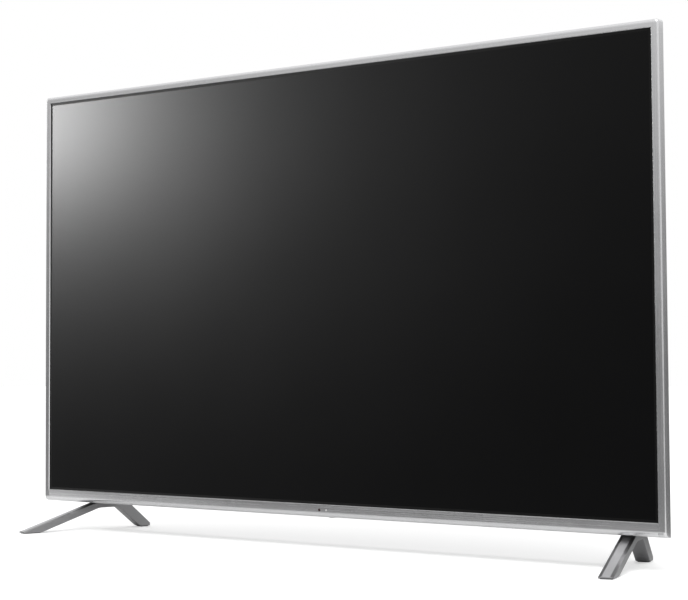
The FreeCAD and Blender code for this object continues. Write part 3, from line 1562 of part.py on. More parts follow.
def settle(body, side, angle):
    """Puts a body that is drawn along a foot at that foot, turned to its splay."""
    body.Placement = FreeCAD.Placement(FreeCAD.Vector(), FreeCAD.Rotation(Z_AXIS, 0))
    bind(body, Placement__Rotation__Angle=angle)
    place(body, side * foot_side, as_size(0), as_size(0))


def is_upper(edge, front_nose, rear_nose):
    """Whether an edge lies along the top outline of a foot, on either flank."""
    first, last = (vertex.Point for vertex in edge.Vertexes)
    if edge.Length < 10 or abs(first.x - last.x) > 0.01:
        return False
    front_end = -SIZES["foot_reach"], front_nose
    rear_end = SIZES["foot_reach"], rear_nose
    land = SIZES["foot_land_start"], SIZES["foot_land_end"]
    for spot in (first, last):
        end, edge_of_land = (front_end, land[0]) if spot.y < land[0] else (rear_end, land[1])
        share = (spot.y - end[0]) / (edge_of_land - end[0])
        height = base.value
        if spot.y < land[0] or spot.y > land[1]:
            height = end[1] + (base.value - end[1]) * share
        if abs(spot.z - height) > 0.01:
            return False
    return True


make_bezel_frame()
make_bottom_bar()
make_plug("light_window", s.window_radius, s.window_side)
make_plug("standby_lens", s.standby_radius, s.lens_side)
make_sensor_board()
flange_limits = make_display()
make_chassis_tray(*flange_limits)
make_lights()
make_boards()
make_timing_ribbons()
make_display_ribbon()
make_board_parts()
make_sockets()
make_side_sockets()
make_inlet()
make_rear_cover()
make_cover_fixings()
make_speakers()
make_control_stick()
make_leads()
make_feet()
doc.recompute()

for item in doc.Objects:
    if "Invalid" in item.State or "Error" in item.State:
        raise RuntimeError(f"{item.Label} failed: {item.State}")
for item in nodes:
    if item.Shape.isNull() or not item.Shape.isValid() or not item.Shape.Solids:
        raise RuntimeError(f"{item.Label} has no valid solid")

os.makedirs("parts", exist_ok=True)
for item in nodes:
    item.Shape.exportStep(f"parts/{item.Label}.step")
print(len(nodes), "sub-parts written")
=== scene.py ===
"""Looks of a free-standing flat screen television, built round its fixed frame."""

import logging
import math
from dataclasses import dataclass
from enum import Enum
from typing import Iterable, Sequence

import bmesh
import bpy
import numpy as np
from bpy.types import Material, Node, NodeSocket, NodeTree, Object
from mathutils import Matrix, Vector


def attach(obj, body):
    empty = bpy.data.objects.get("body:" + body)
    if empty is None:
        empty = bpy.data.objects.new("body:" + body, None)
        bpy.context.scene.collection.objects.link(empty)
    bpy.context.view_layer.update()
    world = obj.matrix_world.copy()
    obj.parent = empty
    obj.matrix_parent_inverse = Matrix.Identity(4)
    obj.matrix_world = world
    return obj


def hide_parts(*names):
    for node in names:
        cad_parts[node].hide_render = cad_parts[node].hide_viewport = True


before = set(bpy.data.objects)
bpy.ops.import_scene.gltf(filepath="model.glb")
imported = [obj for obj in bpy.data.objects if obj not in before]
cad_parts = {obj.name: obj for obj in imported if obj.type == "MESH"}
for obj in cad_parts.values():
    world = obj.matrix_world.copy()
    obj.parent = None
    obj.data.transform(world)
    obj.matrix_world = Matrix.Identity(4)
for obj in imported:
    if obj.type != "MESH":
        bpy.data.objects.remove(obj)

LOG = logging.getLogger("television")
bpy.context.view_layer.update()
MM = 0.001
SET = "set"
EVEN = (1.0, 1.0, 1.0)

Pair = tuple[float, float]
Triple = tuple[float, float, float]
Shape = tuple[np.ndarray, list]


class Side(Enum):
    """The two sides of the set, as a viewer in front sees them."""

    LEFT = -1
    RIGHT = 1


class Run(Enum):
    """The way a brushed or drawn grain runs, as the stretch of its pattern on X, Y and Z."""

    ALONG_X = (3.0, 900.0, 900.0)
    ALONG_Y = (900.0, 3.0, 900.0)
    ALONG_Z = (900.0, 900.0, 3.0)
    ROUND = (300.0, 300.0, 300.0)


# Shader building


class NodeSheet:
    """A node tree under construction, with short calls for the nodes it needs."""

    def __init__(self, tree: NodeTree) -> None:
        """Starts on a tree."""
        self.tree = tree

    def node(self, kind: str, inputs: dict | None = None, **settings: object) -> Node:
        """Adds a node.

        Args:
            kind: Blender's name of the node type.
            inputs: Values or source sockets for its inputs, by name or number.
            settings: Values for the node's own properties.

        Returns:
            The new node.
        """
        made = self.tree.nodes.new(kind)
        for name, value in settings.items():
            setattr(made, name, value)
        for name, value in (inputs or {}).items():
            self.feed(value, made.inputs[name])
        return made

    def feed(self, value: object, socket: NodeSocket) -> None:
        """Links a source socket to an input, or writes a plain value into it.

        Args:
            value: A source socket or a value.
            socket: The input.
        """
        if isinstance(value, NodeSocket):
            self.tree.links.new(value, socket)
        else:
            socket.default_value = value

    def spread(self, value: NodeSocket, low: float, high: float, first: object = 0.0,
               last: object = 1.0) -> NodeSocket:
        """Maps a value from one span to another.

        Args:
            value: The value to map.
            low: Its value that gives first.
            high: Its value that gives last.
            first: The result at low.
            last: The result at high.

        Returns:
            The mapped value.
        """
        inputs = {"Value": value, "From Min": low, "From Max": high, "To Min": first,
                  "To Max": last}
        return self.node("ShaderNodeMapRange", inputs).outputs["Result"]

    def sum(self, kind: str, first: object, second: object = 0.0) -> NodeSocket:
        """Gives one step of arithmetic on two values."""
        return self.node("ShaderNodeMath", {0: first, 1: second}, operation=kind).outputs[0]

    def dot(self, first: NodeSocket, second: object) -> NodeSocket:
        """Gives the scalar product of two directions."""
        inputs = {0: first, 1: second}
        return self.node("ShaderNodeVectorMath", inputs, operation="DOT_PRODUCT").outputs["Value"]

    def part(self, value: NodeSocket, name: str) -> NodeSocket:
        """Gives the X, Y or Z of a place or direction."""
        return self.node("ShaderNodeSeparateXYZ", {0: value}).outputs[name]

    def seen(self) -> NodeSocket:
        """Gives 1 where the camera looks straight at the surface, 0 for every other ray."""
        return self.node("ShaderNodeLightPath").outputs["Is Camera Ray"]


class ShaderSheet(NodeSheet):
    """A material under construction, whose surface is one principled shader."""

    def __init__(self, name: str, turn: float = 0.0) -> None:
        """Starts a material.

        Args:
            name: Its name.
            turn: The angle in degrees by which its patterns are turned about Z.
        """
        self.turn = turn
        self.material = bpy.data.materials.new(name)
        self.material.use_nodes = True
        super().__init__(self.material.node_tree)
        self.surface = self.tree.nodes["Principled BSDF"]

    def fix(self, **values: object) -> None:
        """Writes constant values to the shader's own sockets, with underscores for spaces."""
        for name, value in values.items():
            self.surface.inputs[name.replace("_", " ")].default_value = value

    def drive(self, name: str, source: NodeSocket) -> None:
        """Links a pattern to one of the shader's inputs."""
        self.tree.links.new(source, self.surface.inputs[name])

    def done(self, colour: NodeSocket, dull: NodeSocket, relief: tuple,
             **fixed: object) -> Material:
        """Links the shader's main inputs and fixes others.

        Args:
            colour: The base colour.
            dull: The roughness.
            relief: A height pattern from 0 to 1, its depth in metres and how much of it shows.
            fixed: Values for fix.

        Returns:
            The finished material.
        """
        inputs = dict(zip(("Height", "Distance", "Strength"), relief))
        normal = self.node("ShaderNodeBump", inputs).outputs["Normal"]
        for name, source in (("Base Color", colour), ("Roughness", dull), ("Normal", normal)):
            self.drive(name, source)
        self.fix(**fixed)
        return self.material

    def spot(self) -> NodeSocket:
        """Gives the object's own coordinates, in metres."""
        return self.node("ShaderNodeTexCoord").outputs["Object"]

    def place(self, stretch: Sequence[float] = EVEN) -> NodeSocket:
        """Gives the object's own coordinates, turned about Z and stretched.

        Args:
            stretch: The factor on each axis.

        Returns:
            The coordinates.
        """
        spot = self.spot()
        if self.turn:
            inputs = {"Vector": spot, "Rotation": (0, 0, math.radians(self.turn))}
            spot = self.node("ShaderNodeMapping", inputs).outputs["Vector"]
        inputs = {"Vector": spot, "Scale": tuple(stretch)}
        return self.node("ShaderNodeMapping", inputs).outputs["Vector"]

    def noise(self, scale: float, stretch: Sequence[float] = EVEN, detail: float = 3.0,
              rough: float = 0.55) -> NodeSocket:
        """Gives a cloudy value from 0 to 1 over the object.

        Args:
            scale: Clouds to a metre.
            stretch: Extra scale on each axis.
            detail: Octaves of finer cloud.
            rough: Weight of the finer octaves.

        Returns:
            The value's socket.
        """
        inputs = {"Vector": self.place(stretch), "Scale": scale, "Detail": detail,
                  "Roughness": rough}
        return self.node("ShaderNodeTexNoise", inputs).outputs["Fac"]

    def cells(self, scale: float, stretch: Sequence[float] = EVEN,
              output: str = "Distance") -> NodeSocket:
        """Gives the distance to, or the colour of, the nearest of many scattered points."""
        inputs = {"Vector": self.place(stretch), "Scale": scale}
        return self.node("ShaderNodeTexVoronoi", inputs).outputs[output]

    def grey(self, colour: NodeSocket) -> NodeSocket:
        """Gives a colour's brightness."""
        return self.node("ShaderNodeRGBToBW", {0: colour}).outputs[0]

    def blend(self, share: object, first: object, second: object) -> NodeSocket:
        """Mixes two colours, or their sockets, by the second one's share from 0 to 1."""
        inputs = {0: share, 6: first, 7: second}
        return self.node("ShaderNodeMix", inputs, data_type="RGBA").outputs[2]

    def shades(self, share: NodeSocket, colour: Triple, dark: float, light: float) -> NodeSocket:
        """Mixes a darker and a lighter shade of one colour, each given by its factor."""
        return self.blend(share, tint(colour, dark), tint(colour, light))

    def wear(self, radius: float) -> NodeSocket:
        """Gives how rubbed the surface is: patchy, and only near edges.

        Args:
            radius: How far from an edge, in metres.

        Returns:
            A value from 0 to 1.
        """
        soft = self.node("ShaderNodeBevel", {"Radius": radius}, samples=4).outputs["Normal"]
        true = self.node("ShaderNodeNewGeometry").outputs["Normal"]
        edge = self.spread(self.dot(soft, true), 0.99, 0.85)
        return self.sum("MULTIPLY", edge, self.spread(self.noise(180.0), 0.42, 0.68))


def tint(colour: Sequence[float], by: float) -> tuple[float, float, float, float]:
    """Gives a colour made lighter or darker by a factor, with full cover."""
    return tuple(min(1.0, part * by) for part in colour[:3]) + (1.0,)


# Finishes


@dataclass(frozen=True)
class BrushedMetal:
    """Satin metal with a fine grain, small stains and a little loss of shine.

    The grain turns upright beyond legs_from, in metres on either side. Where there is a strip,
    given by its middle and half its width across the turned pattern, it is lacquered, and the
    metal beside it and below it is painted darker: painted shade on the flanks, bevels and
    underside.
    """

    name: str
    colour: Triple
    roughness: float = 0.3
    run: Run = Run.ALONG_X
    legs_from: float | None = None
    depth: float = 0.00002
    turn: float = 0.0
    strip: Pair | None = None
    # Colour of the painted shade on the flanks, bevels and underside beside and below the strip.
    painted_shade_flanks: Triple = (0.33, 0.33, 0.335)
    lacquer: float = 0.35

    def make(self) -> Material:
        """Builds the material from a stretched grain, broad smears and rubbed edges.

        Returns:
            The material.
        """
        sheet = ShaderSheet(self.name, self.turn)
        grain = sheet.noise(1.0, self.run.value, 4.0, 0.65)
        if self.legs_from is not None:
            upright = sheet.noise(1.0, Run.ALONG_Z.value, 4.0, 0.65)
            away = sheet.sum("ABSOLUTE", sheet.part(sheet.spot(), "X"))
            leg = sheet.sum("GREATER_THAN", away, self.legs_from)
            grain = sheet.spread(leg, 0.0, 1.0, grain, upright)
        smear = sheet.noise(9.0, EVEN, 4.0)
        shade = sheet.shades(sheet.spread(grain, 0.25, 0.75), self.colour, 0.92, 1.06)
        stain = sheet.spread(smear, 0.35, 0.75, 0.0, 0.25)
        shade = sheet.blend(stain, shade, tint(self.colour, 0.9))
        if self.strip is not None:
            middle, half = self.strip
            across = sheet.sum("SUBTRACT", sheet.part(sheet.place(), "X"), middle)
            facing = sheet.node("ShaderNodeNewGeometry").outputs["Normal"]
            top = sheet.spread(sheet.part(facing, "Z"), 0.45, 0.6)
            near = sheet.spread(sheet.sum("ABSOLUTE", across), half + 0.0006, half - 0.0006)
            inside = sheet.sum("MULTIPLY", near, top)
            # Painted shade: away from the upward-facing strip, the flanks, bevels and underside
            # take a darker colour.
            shade = sheet.blend(inside, sheet.shades(grain, self.painted_shade_flanks, 0.85, 1.15), shade)
            sheet.drive("Metallic", sheet.spread(inside, 0.0, 1.0, 1.0, self.lacquer))
        rubbed = sheet.wear(0.0005)
        shade = sheet.blend(rubbed, shade, tint(self.colour, 1.2))
        streak = sheet.spread(grain, 0.2, 0.8, self.roughness - 0.06, self.roughness + 0.08)
        dull = sheet.sum("ADD", streak, sheet.spread(smear, 0.3, 0.8, -0.02, 0.05))
        dull = sheet.sum("SUBTRACT", dull, sheet.spread(rubbed, 0.0, 1.0, 0.0, 0.08))
        return sheet.done(shade, dull, (grain, self.depth, 0.6), Metallic=1.0)


@dataclass(frozen=True)
class MouldedPlastic:
    """Moulded plastic with a fine spark-eroded grain."""

    name: str
    colour: Triple
    roughness: float = 0.5
    grain: float = 1400.0
    depth: float = 0.00006

    def make(self) -> Material:
        """Builds the material: grain in relief, cloudy shine and a slight change of shade.

        Returns:
            The material.
        """
        sheet = ShaderSheet(self.name)
        grain = sheet.noise(self.grain, EVEN, 3.0, 0.6)
        cloud = sheet.noise(14.0, EVEN, 4.0)
        rubbed = sheet.wear(0.0006)
        shade = sheet.shades(sheet.spread(cloud, 0.3, 0.7), self.colour, 0.9, 1.12)
        shade = sheet.blend(rubbed, shade, tint(self.colour, 1.6))
        spots = sheet.spread(grain, 0.3, 0.7, self.roughness - 0.05, self.roughness + 0.06)
        dull = sheet.sum("ADD", spots, sheet.spread(cloud, 0.3, 0.7, -0.03, 0.04))
        dull = sheet.sum("SUBTRACT", dull, sheet.spread(rubbed, 0.0, 1.0, 0.0, 0.12))
        return sheet.done(shade, dull, (grain, self.depth, 0.5))


@dataclass(frozen=True)
class ScreenGlass:
    """The front of the display cell: a dark sheet with a faint silky scatter."""

    name: str
    colour: Triple
    roughness: float
    shine: float
    scatter: float = 5200.0

    def make(self) -> Material:
        """Builds the material: a scatter grain far finer than a picture dot, and faint clouds.

        Returns:
            The material.
        """
        sheet = ShaderSheet(self.name)
        grain = sheet.noise(self.scatter, EVEN, 2.0, 0.5)
        cloud = sheet.noise(3.0, EVEN, 4.0, 0.5)
        shade = sheet.shades(sheet.spread(cloud, 0.3, 0.7), self.colour, 0.9, 1.1)
        fine = sheet.spread(grain, 0.3, 0.7, self.roughness - 0.01, self.roughness + 0.01)
        dull = sheet.sum("ADD", fine, sheet.spread(cloud, 0.3, 0.7, -0.005, 0.01))
        return sheet.done(shade, dull, (grain, 0.000002, 0.3), Specular_IOR_Level=self.shine)


@dataclass(frozen=True)
class ZincSteel:
    """Zinc coated sheet steel, with the frosty patches that the coating grows."""

    name: str
    colour: Triple = (0.62, 0.63, 0.64)

    def make(self) -> Material:
        """Builds the material from patches of differing shade and shine.

        Returns:
            The material.
        """
        sheet = ShaderSheet(self.name)
        patch = sheet.grey(sheet.cells(160.0, output="Color"))
        dull = sheet.spread(patch, 0.0, 1.0, 0.32, 0.5)
        rub = sheet.noise(500.0, (1, 1, 0.05))
        return sheet.done(sheet.shades(patch, self.colour, 0.8, 1.15), dull,
                          (rub, 0.00002, 0.4), Metallic=1.0)


@dataclass(frozen=True)
class CircuitBoard:
    """A coated circuit board with copper tracks under the coat and tinned pads."""

    name: str
    coat: Triple = (0.02, 0.14, 0.06)

    def make(self) -> Material:
        """Builds the material: upright and level tracks from stretched cells, and round pads.

        Returns:
            The material.
        """
        sheet = ShaderSheet(self.name)
        level = sheet.cells(1.0, (60, 60, 900), "Color")
        upright = sheet.cells(1.0, (900, 60, 60), "Color")
        line = sheet.spread(sheet.grey(sheet.blend(0.5, level, upright)), 0.48, 0.54)
        pad = sheet.spread(sheet.cells(420.0), 0.16, 0.12)
        shade = sheet.blend(pad, sheet.shades(line, self.coat, 0.85, 1.5), (0.75, 0.74, 0.7, 1.0))
        sheet.drive("Metallic", pad)
        dull = sheet.spread(sheet.noise(60.0), 0.3, 0.7, 0.28, 0.4)
        return sheet.done(shade, dull, (line, 0.00003, 0.5))


@dataclass(frozen=True)
class ClearMoulding:
    """A clear or tinted moulding that light goes through."""

    name: str
    colour: Triple
    roughness: float = 0.08
    clear: float = 0.9

    def make(self) -> Material:
        """Builds the material, with faint flow lines from the mould.

        Returns:
            The material.
        """
        sheet = ShaderSheet(self.name)
        flow = sheet.noise(90.0, (1, 1, 3))
        shade = sheet.shades(sheet.spread(flow, 0.3, 0.7), self.colour, 0.94, 1.04)
        dull = sheet.spread(flow, 0.3, 0.7, self.roughness, self.roughness + 0.05)
        return sheet.done(shade, dull, (flow, 0.00002, 0.3), Transmission_Weight=self.clear,
                          IOR=1.49)


@dataclass(frozen=True)
class SilkyFilm:
    """An optical sheet with ribs too fine to count."""

    name: str
    colour: Triple
    ribs: Triple = (1, 1, 1600)

    def make(self) -> Material:
        """Builds the material from one stretched ripple.

        Returns:
            The material.
        """
        sheet = ShaderSheet(self.name)
        rib = sheet.noise(1.0, self.ribs, 2.0)
        return sheet.done(sheet.shades(rib, self.colour, 0.95, 1.05),
                          sheet.spread(rib, 0.3, 0.7, 0.28, 0.4), (rib, 0.00003, 0.5))


@dataclass(frozen=True)
class SoftRubber:
    """Dull rubber with dust in its pores."""

    name: str
    colour: Triple = (0.03, 0.03, 0.03)

    def make(self) -> Material:
        """Builds the material: fine pores and a dusty cloud.

        Returns:
            The material.
        """
        sheet = ShaderSheet(self.name)
        pores = sheet.noise(2600.0)
        dust = sheet.spread(sheet.noise(70.0, EVEN, 5.0), 0.5, 0.8)
        return sheet.done(sheet.shades(dust, self.colour, 1.0, 2.2),
                          sheet.spread(pores, 0.3, 0.7, 0.72, 0.88), (pores, 0.00005, 0.6))


@dataclass(frozen=True)
class WoundTape:
    """Tape or enamelled wire wound round a core, seen as close turns."""

    name: str
    colour: Triple
    turns: float = 1200.0

    def make(self) -> Material:
        """Builds the material from bands across the piece.

        Returns:
            The material.
        """
        sheet = ShaderSheet(self.name)
        inputs = {"Vector": sheet.place(), "Scale": self.turns, "Distortion": 0.4}
        band = sheet.node("ShaderNodeTexWave", inputs, bands_direction="X").outputs["Fac"]
        return sheet.done(sheet.shades(band, self.colour, 0.75, 1.1),
                          sheet.spread(band, 0.0, 1.0, 0.4, 0.28), (band, 0.0001, 0.6))


Finish = (BrushedMetal | MouldedPlastic | ScreenGlass | ZincSteel | CircuitBoard | ClearMoulding
          | SilkyFilm | SoftRubber | WoundTape)


MADE: dict[Finish, Material] = {}


def paint(finish: Finish) -> Material:
    """Gives a finish's material, made the first time that it is asked for.

    Args:
        finish: The finish.

    Returns:
        Its one material.
    """
    if finish not in MADE:
        MADE[finish] = finish.make()
    return MADE[finish]


def plastics(start: str, rest: tuple, **colours: Triple) -> tuple[Finish, ...]:
    """Gives one plastic in several colours: names that start alike, and the same other fields."""
    return tuple(MouldedPlastic(f"{start}_{name}", tone, *rest) for name, tone in colours.items())


STEEL = BrushedMetal("screw_steel", (0.55, 0.55, 0.56), 0.3, Run.ROUND)
TIN = BrushedMetal("plated_tin", (0.72, 0.71, 0.69), 0.28, Run.ROUND)
GOLD = BrushedMetal("plated_gold", (0.85, 0.62, 0.22), 0.25, Run.ROUND)
BLACK = MouldedPlastic("part_black", (0.015, 0.015, 0.015), 0.45, 1500.0)
NYLON = MouldedPlastic("plug_nylon", (0.72, 0.71, 0.66), 0.42, 1500.0, 0.00004)
SKINS = plastics("lead", (0.4, 2200.0, 0.00003), black=(0.02, 0.02, 0.02), red=(0.45, 0.02, 0.02),
                 white=(0.75, 0.75, 0.72), yellow=(0.7, 0.5, 0.04))
DYES = plastics("jack", (0.32, 900.0), green=(0.05, 0.4, 0.1), blue=(0.04, 0.1, 0.5),
                red=(0.5, 0.03, 0.03), white=(0.8, 0.8, 0.77), red_sound=(0.5, 0.03, 0.03))


# Surfaces worked out with numpy, in millimetres


def arc(centre: Sequence[float], radius: float, start: float, end: float,
        count: int) -> np.ndarray:
    """Gives count points, centre + radius * (cos a, sin a), a even from start to end in degrees."""
    angles = np.radians(np.linspace(start, end, count))[:, None]
    return np.array(centre) + radius * np.hstack((np.cos(angles), np.sin(angles)))


def surface(points: np.ndarray, closed: bool = True) -> Shape:
    """Joins a grid of points with four-sided faces, each over two rows and two columns.

    Args:
        points: An array of rows, columns and three coordinates.
        closed: Whether each row is a ring and the first and last rows are closed by one face.

    Returns:
        The points as a list of corners, and the faces as lists of corner numbers.
    """
    rows, columns = points.shape[:2]
    number = np.arange(rows * columns).reshape(rows, columns)
    nearby = np.roll(number, -1, axis=1) if closed else number[:, 1:]
    here = number if closed else number[:, :-1]
    quads = np.stack((here[:-1], nearby[:-1], nearby[1:], here[1:]), axis=-1).reshape(-1, 4)
    lids = [number[0, ::-1].tolist(), number[-1].tolist()] if closed else []
    return points.reshape(-1, 3), quads.tolist() + lids


def merge(parts: Iterable[Shape]) -> Shape:
    """Puts several shapes into one, with the numbers in their faces moved on.

    Args:
        parts: The shapes.

    Returns:
        The corners and faces of them all.
    """
    corners, faces, count = [], [], 0
    for points, cells in parts:
        corners.append(points)
        faces += [[corner + count for corner in face] for face in cells]
        count += len(points)
    return np.concatenate(corners), faces


def solid(name: str, shape: Shape, crease: float = 30.0,
          slots: Sequence[int] | None = None) -> Object:
    """Makes a clean, closed object.

    Args:
        name: The piece's name.
        shape: Its corners and faces.
        crease: The angle in degrees from which an edge stays sharp.
        slots: The number of each face's finish, or None where there is one.

    Returns:
        The object, with its doubles merged and its faces outward.
    """
    points, faces = shape
    mesh = bpy.data.meshes.new(name)
    mesh.from_pydata((points * MM).tolist(), [], faces)
    if slots is not None:
        mesh.polygons.foreach_set("material_index", slots)
    made = link(name, mesh)
    tidy(made, crease)
    return made


def link(name: str, data: bpy.types.ID) -> Object:
    """Puts a new object into the scene.

    Args:
        name: Its name.
        data: Its mesh, lamp or camera.

    Returns:
        The object.
    """
    made = bpy.data.objects.new(name, data)
    bpy.context.scene.collection.objects.link(made)
    return made


def painted(name: str, groups: Sequence[tuple[Shape, Finish]]) -> Object:
    """Makes one object of several shapes, each with a finish of its own.

    Args:
        name: The piece's name.
        groups: Pairs of a shape and its finish.

    Returns:
        The object.
    """
    shapes = [shape for shape, _ in groups]
    slots = [i for i, shape in enumerate(shapes) for _ in shape[1]]
    made = solid(name, merge(shapes), slots=slots)
    for _, finish in groups:
        made.data.materials.append(paint(finish))
    return made


def tidy(piece: Object, crease: float) -> None:
    """Merges doubled corners, turns faces outward and smooths soft edges.

    Args:
        piece: The object.
        crease: The angle in degrees from which an edge stays sharp.
    """
    work = bmesh.new()
    work.from_mesh(piece.data)
    bmesh.ops.remove_doubles(work, verts=work.verts, dist=1e-6)
    bmesh.ops.dissolve_degenerate(work, edges=work.edges, dist=1e-7)
    bmesh.ops.recalc_face_normals(work, faces=work.faces)
    work.to_mesh(piece.data)
    work.free()
    smooth(piece.data)
    piece.data.set_sharp_from_angle(angle=math.radians(crease))


def smooth(mesh: bpy.types.Mesh) -> None:
    """Lets all of a mesh's faces shade smooth."""
    mesh.polygons.foreach_set("use_smooth", [True] * len(mesh.polygons))


def level(piece: Object) -> None:
    """Lets large faces shade flat, so that only the small ones at their edges turn the light.

    Args:
        piece: The object.
    """
    made = piece.modifiers.new("level", "WEIGHTED_NORMAL")
    made.weight = 100
    made.keep_sharp = True


def spin(radius: np.ndarray, height: np.ndarray, place: Sequence[float],
         axis: str = "Y") -> Shape:
    """Turns a line about an axis: (radius * cos a, radius * sin a, height), a even over a turn.

    Args:
        radius: A row for each step round the axis, a column for each point of the line.
        height: The same, or one row for all steps.
        place: Where the axis meets height 0.
        axis: The axis that the height runs along, "Y" or "Z".

    Returns:
        Corners and faces of a closed surface.
    """
    angles = np.linspace(0.0, 2 * np.pi, len(radius), endpoint=False)[:, None]
    across, up = radius * np.cos(angles), radius * np.sin(angles)
    height = np.broadcast_to(height, radius.shape)
    order = (across, height, up) if axis == "Y" else (across, up, height)
    points = np.stack(order, axis=-1) + np.array(place)
    return surface(np.concatenate((points, points[:1])), False)


def lathe(profile: Sequence, place: Sequence[float], axis: str = "Y", count: int = 40,
          ripple: np.ndarray | float = 1.0) -> Shape:
    """Turns rows of radius and height in count steps, with a factor ripple on the radius."""
    radius, height = np.array(profile, float).T
    return spin(np.tile(radius, (count, 1)) * ripple, height, place, axis)


def box(low: Sequence[float], high: Sequence[float], soft: float) -> Shape:
    """Gives a block with softened edges: a rounded rectangle in X and Z, drawn in at both Y ends.

    Args:
        low: Its lowest corner.
        high: Its highest corner.
        soft: The radius of its edges.

    Returns:
        Corners and faces of a closed surface.
    """
    (x0, y0, z0), (x1, y1, z1) = low, high
    inner = ((x1 - soft, z1 - soft), (x0 + soft, z1 - soft), (x0 + soft, z0 + soft),
             (x1 - soft, z0 + soft))
    rows = []
    for y, inset in ((y0, soft), (y0 + soft, 0.0), (y1 - soft, 0.0), (y1, soft)):
        radius = max(soft - inset, 0.01)
        ring = np.concatenate([arc(spot, radius, 90 * i, 90 * i + 90, 4)
                               for i, spot in enumerate(inner)])
        rows.append(np.insert(ring, 1, y, axis=1))
    return surface(np.array(rows))


def brick(low: Sequence[float], high: Sequence[float]) -> Shape:
    """Gives a small plain block, for parts a few millimetres long that come by the dozen.

    Args:
        low: Its lowest corner.
        high: Its highest corner.

    Returns:
        Corners and faces.
    """
    low, high = np.array(low, float), np.array(high, float)
    rows = [[(x, y, z) for x, z in ((0, 0), (1, 0), (1, 1), (0, 1))] for y in (0, 1)]
    return surface(low + np.array(rows) * (high - low))


def soften_line(points: Sequence, rounds: int = 3) -> np.ndarray:
    """Cuts a line's corners, in rounds.

    Each round puts points at a quarter and three quarters of every run.

    Args:
        points: Rows of coordinates.
        rounds: How many rounds.

    Returns:
        The softened line's points.
    """
    line = np.array(points, float)
    for _ in range(rounds):
        near = 0.75 * line[:-1] + 0.25 * line[1:]
        far = 0.25 * line[:-1] + 0.75 * line[1:]
        runs = np.stack((near, far), axis=1).reshape(-1, line.shape[1])
        line = np.concatenate((line[:1], runs, line[-1:]))
    return line


def wire(line: np.ndarray, radius: float, ring: float = 0.0, start: float = 0.0,
         turns: float = 0.0, sides: int = 8) -> Shape:
    """Sweeps a round wire beside a line: offset = ring * (cos a, sin a), a = start + turns * share.

    Args:
        line: Points of the line.
        radius: The wire's radius.
        ring: How far its middle lies off the line.
        start: The offset's first angle, in turns.
        turns: How often the offset goes round on the way.
        sides: Points round the wire.

    Returns:
        Corners and faces.
    """
    ahead = np.gradient(line, axis=0)
    ahead /= np.linalg.norm(ahead, axis=1, keepdims=True)
    side = np.cross(ahead, (0.0, 1.0, 0.0))
    side /= np.linalg.norm(side, axis=1, keepdims=True)
    over = np.cross(ahead, side)
    runs = np.linalg.norm(np.diff(line, axis=0), axis=1)
    share = np.concatenate(([0.0], np.cumsum(runs))) / runs.sum()
    angle = 2 * np.pi * (start + turns * share)[:, None]
    middle = line + ring * (np.cos(angle) * side + np.sin(angle) * over)
    around = np.linspace(0, 2 * np.pi, sides, endpoint=False)[None, :, None]
    points = middle[:, None] + radius * (np.cos(around) * side[:, None]
                                         + np.sin(around) * over[:, None])
    return surface(points)


def thread(spot: Pair, span: Pair, radius: float, depth: float, pitch: float,
           before: Sequence, after: Sequence, count: int = 48) -> Shape:
    """Turns a surface about Y with a screw thread: radius + depth * wave(height / pitch - turn).

    Args:
        spot: The axis's place across and up.
        span: The heights between which the thread runs.
        radius: The thread's plain radius.
        depth: Its depth, negative where it is cut inwards.
        pitch: Its rise in a turn.
        before: Rows of radius and height that lead to it.
        after: Rows of radius and height that follow it.
        count: Steps round the axis.

    Returns:
        Corners and faces.
    """
    low, high = span
    heights = np.linspace(low, high, int((high - low) / pitch * 6))
    turn = np.linspace(0, 1, count, endpoint=False)[:, None]
    wave = np.abs(((heights / pitch - turn) % 1.0) - 0.5) * 2
    fade = np.clip(np.minimum(heights - low, high - heights) / pitch, 0, 1)
    lead, tail = np.array(before, float), np.array(after, float)
    rows = np.ones((count, 1))
    radii = np.hstack((rows * lead[:, 0], radius + depth * wave * fade, rows * tail[:, 0]))
    return spin(radii, np.concatenate((lead[:, 1], heights, tail[:, 1])), (spot[0], 0, spot[1]))


def replace(piece: Object, slot: str, *nodes: str, finish: Finish | None = None,
            body: str = SET) -> None:
    """Dresses a new piece, seats it on its body and lets it stand for frame nodes.

    Args:
        piece: The new piece.
        slot: The name of a material slot; not used.
        nodes: The nodes it stands for.
        finish: Its finish, if it has none yet.
        body: The body it rides on.
    """
    if not piece.data.materials:
        piece.data.materials.append(paint(finish))
    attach(piece, body)
    if nodes:
        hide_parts(*nodes)
    LOG.info("%s: %d faces", piece.name, len(piece.data.polygons))


# The studio


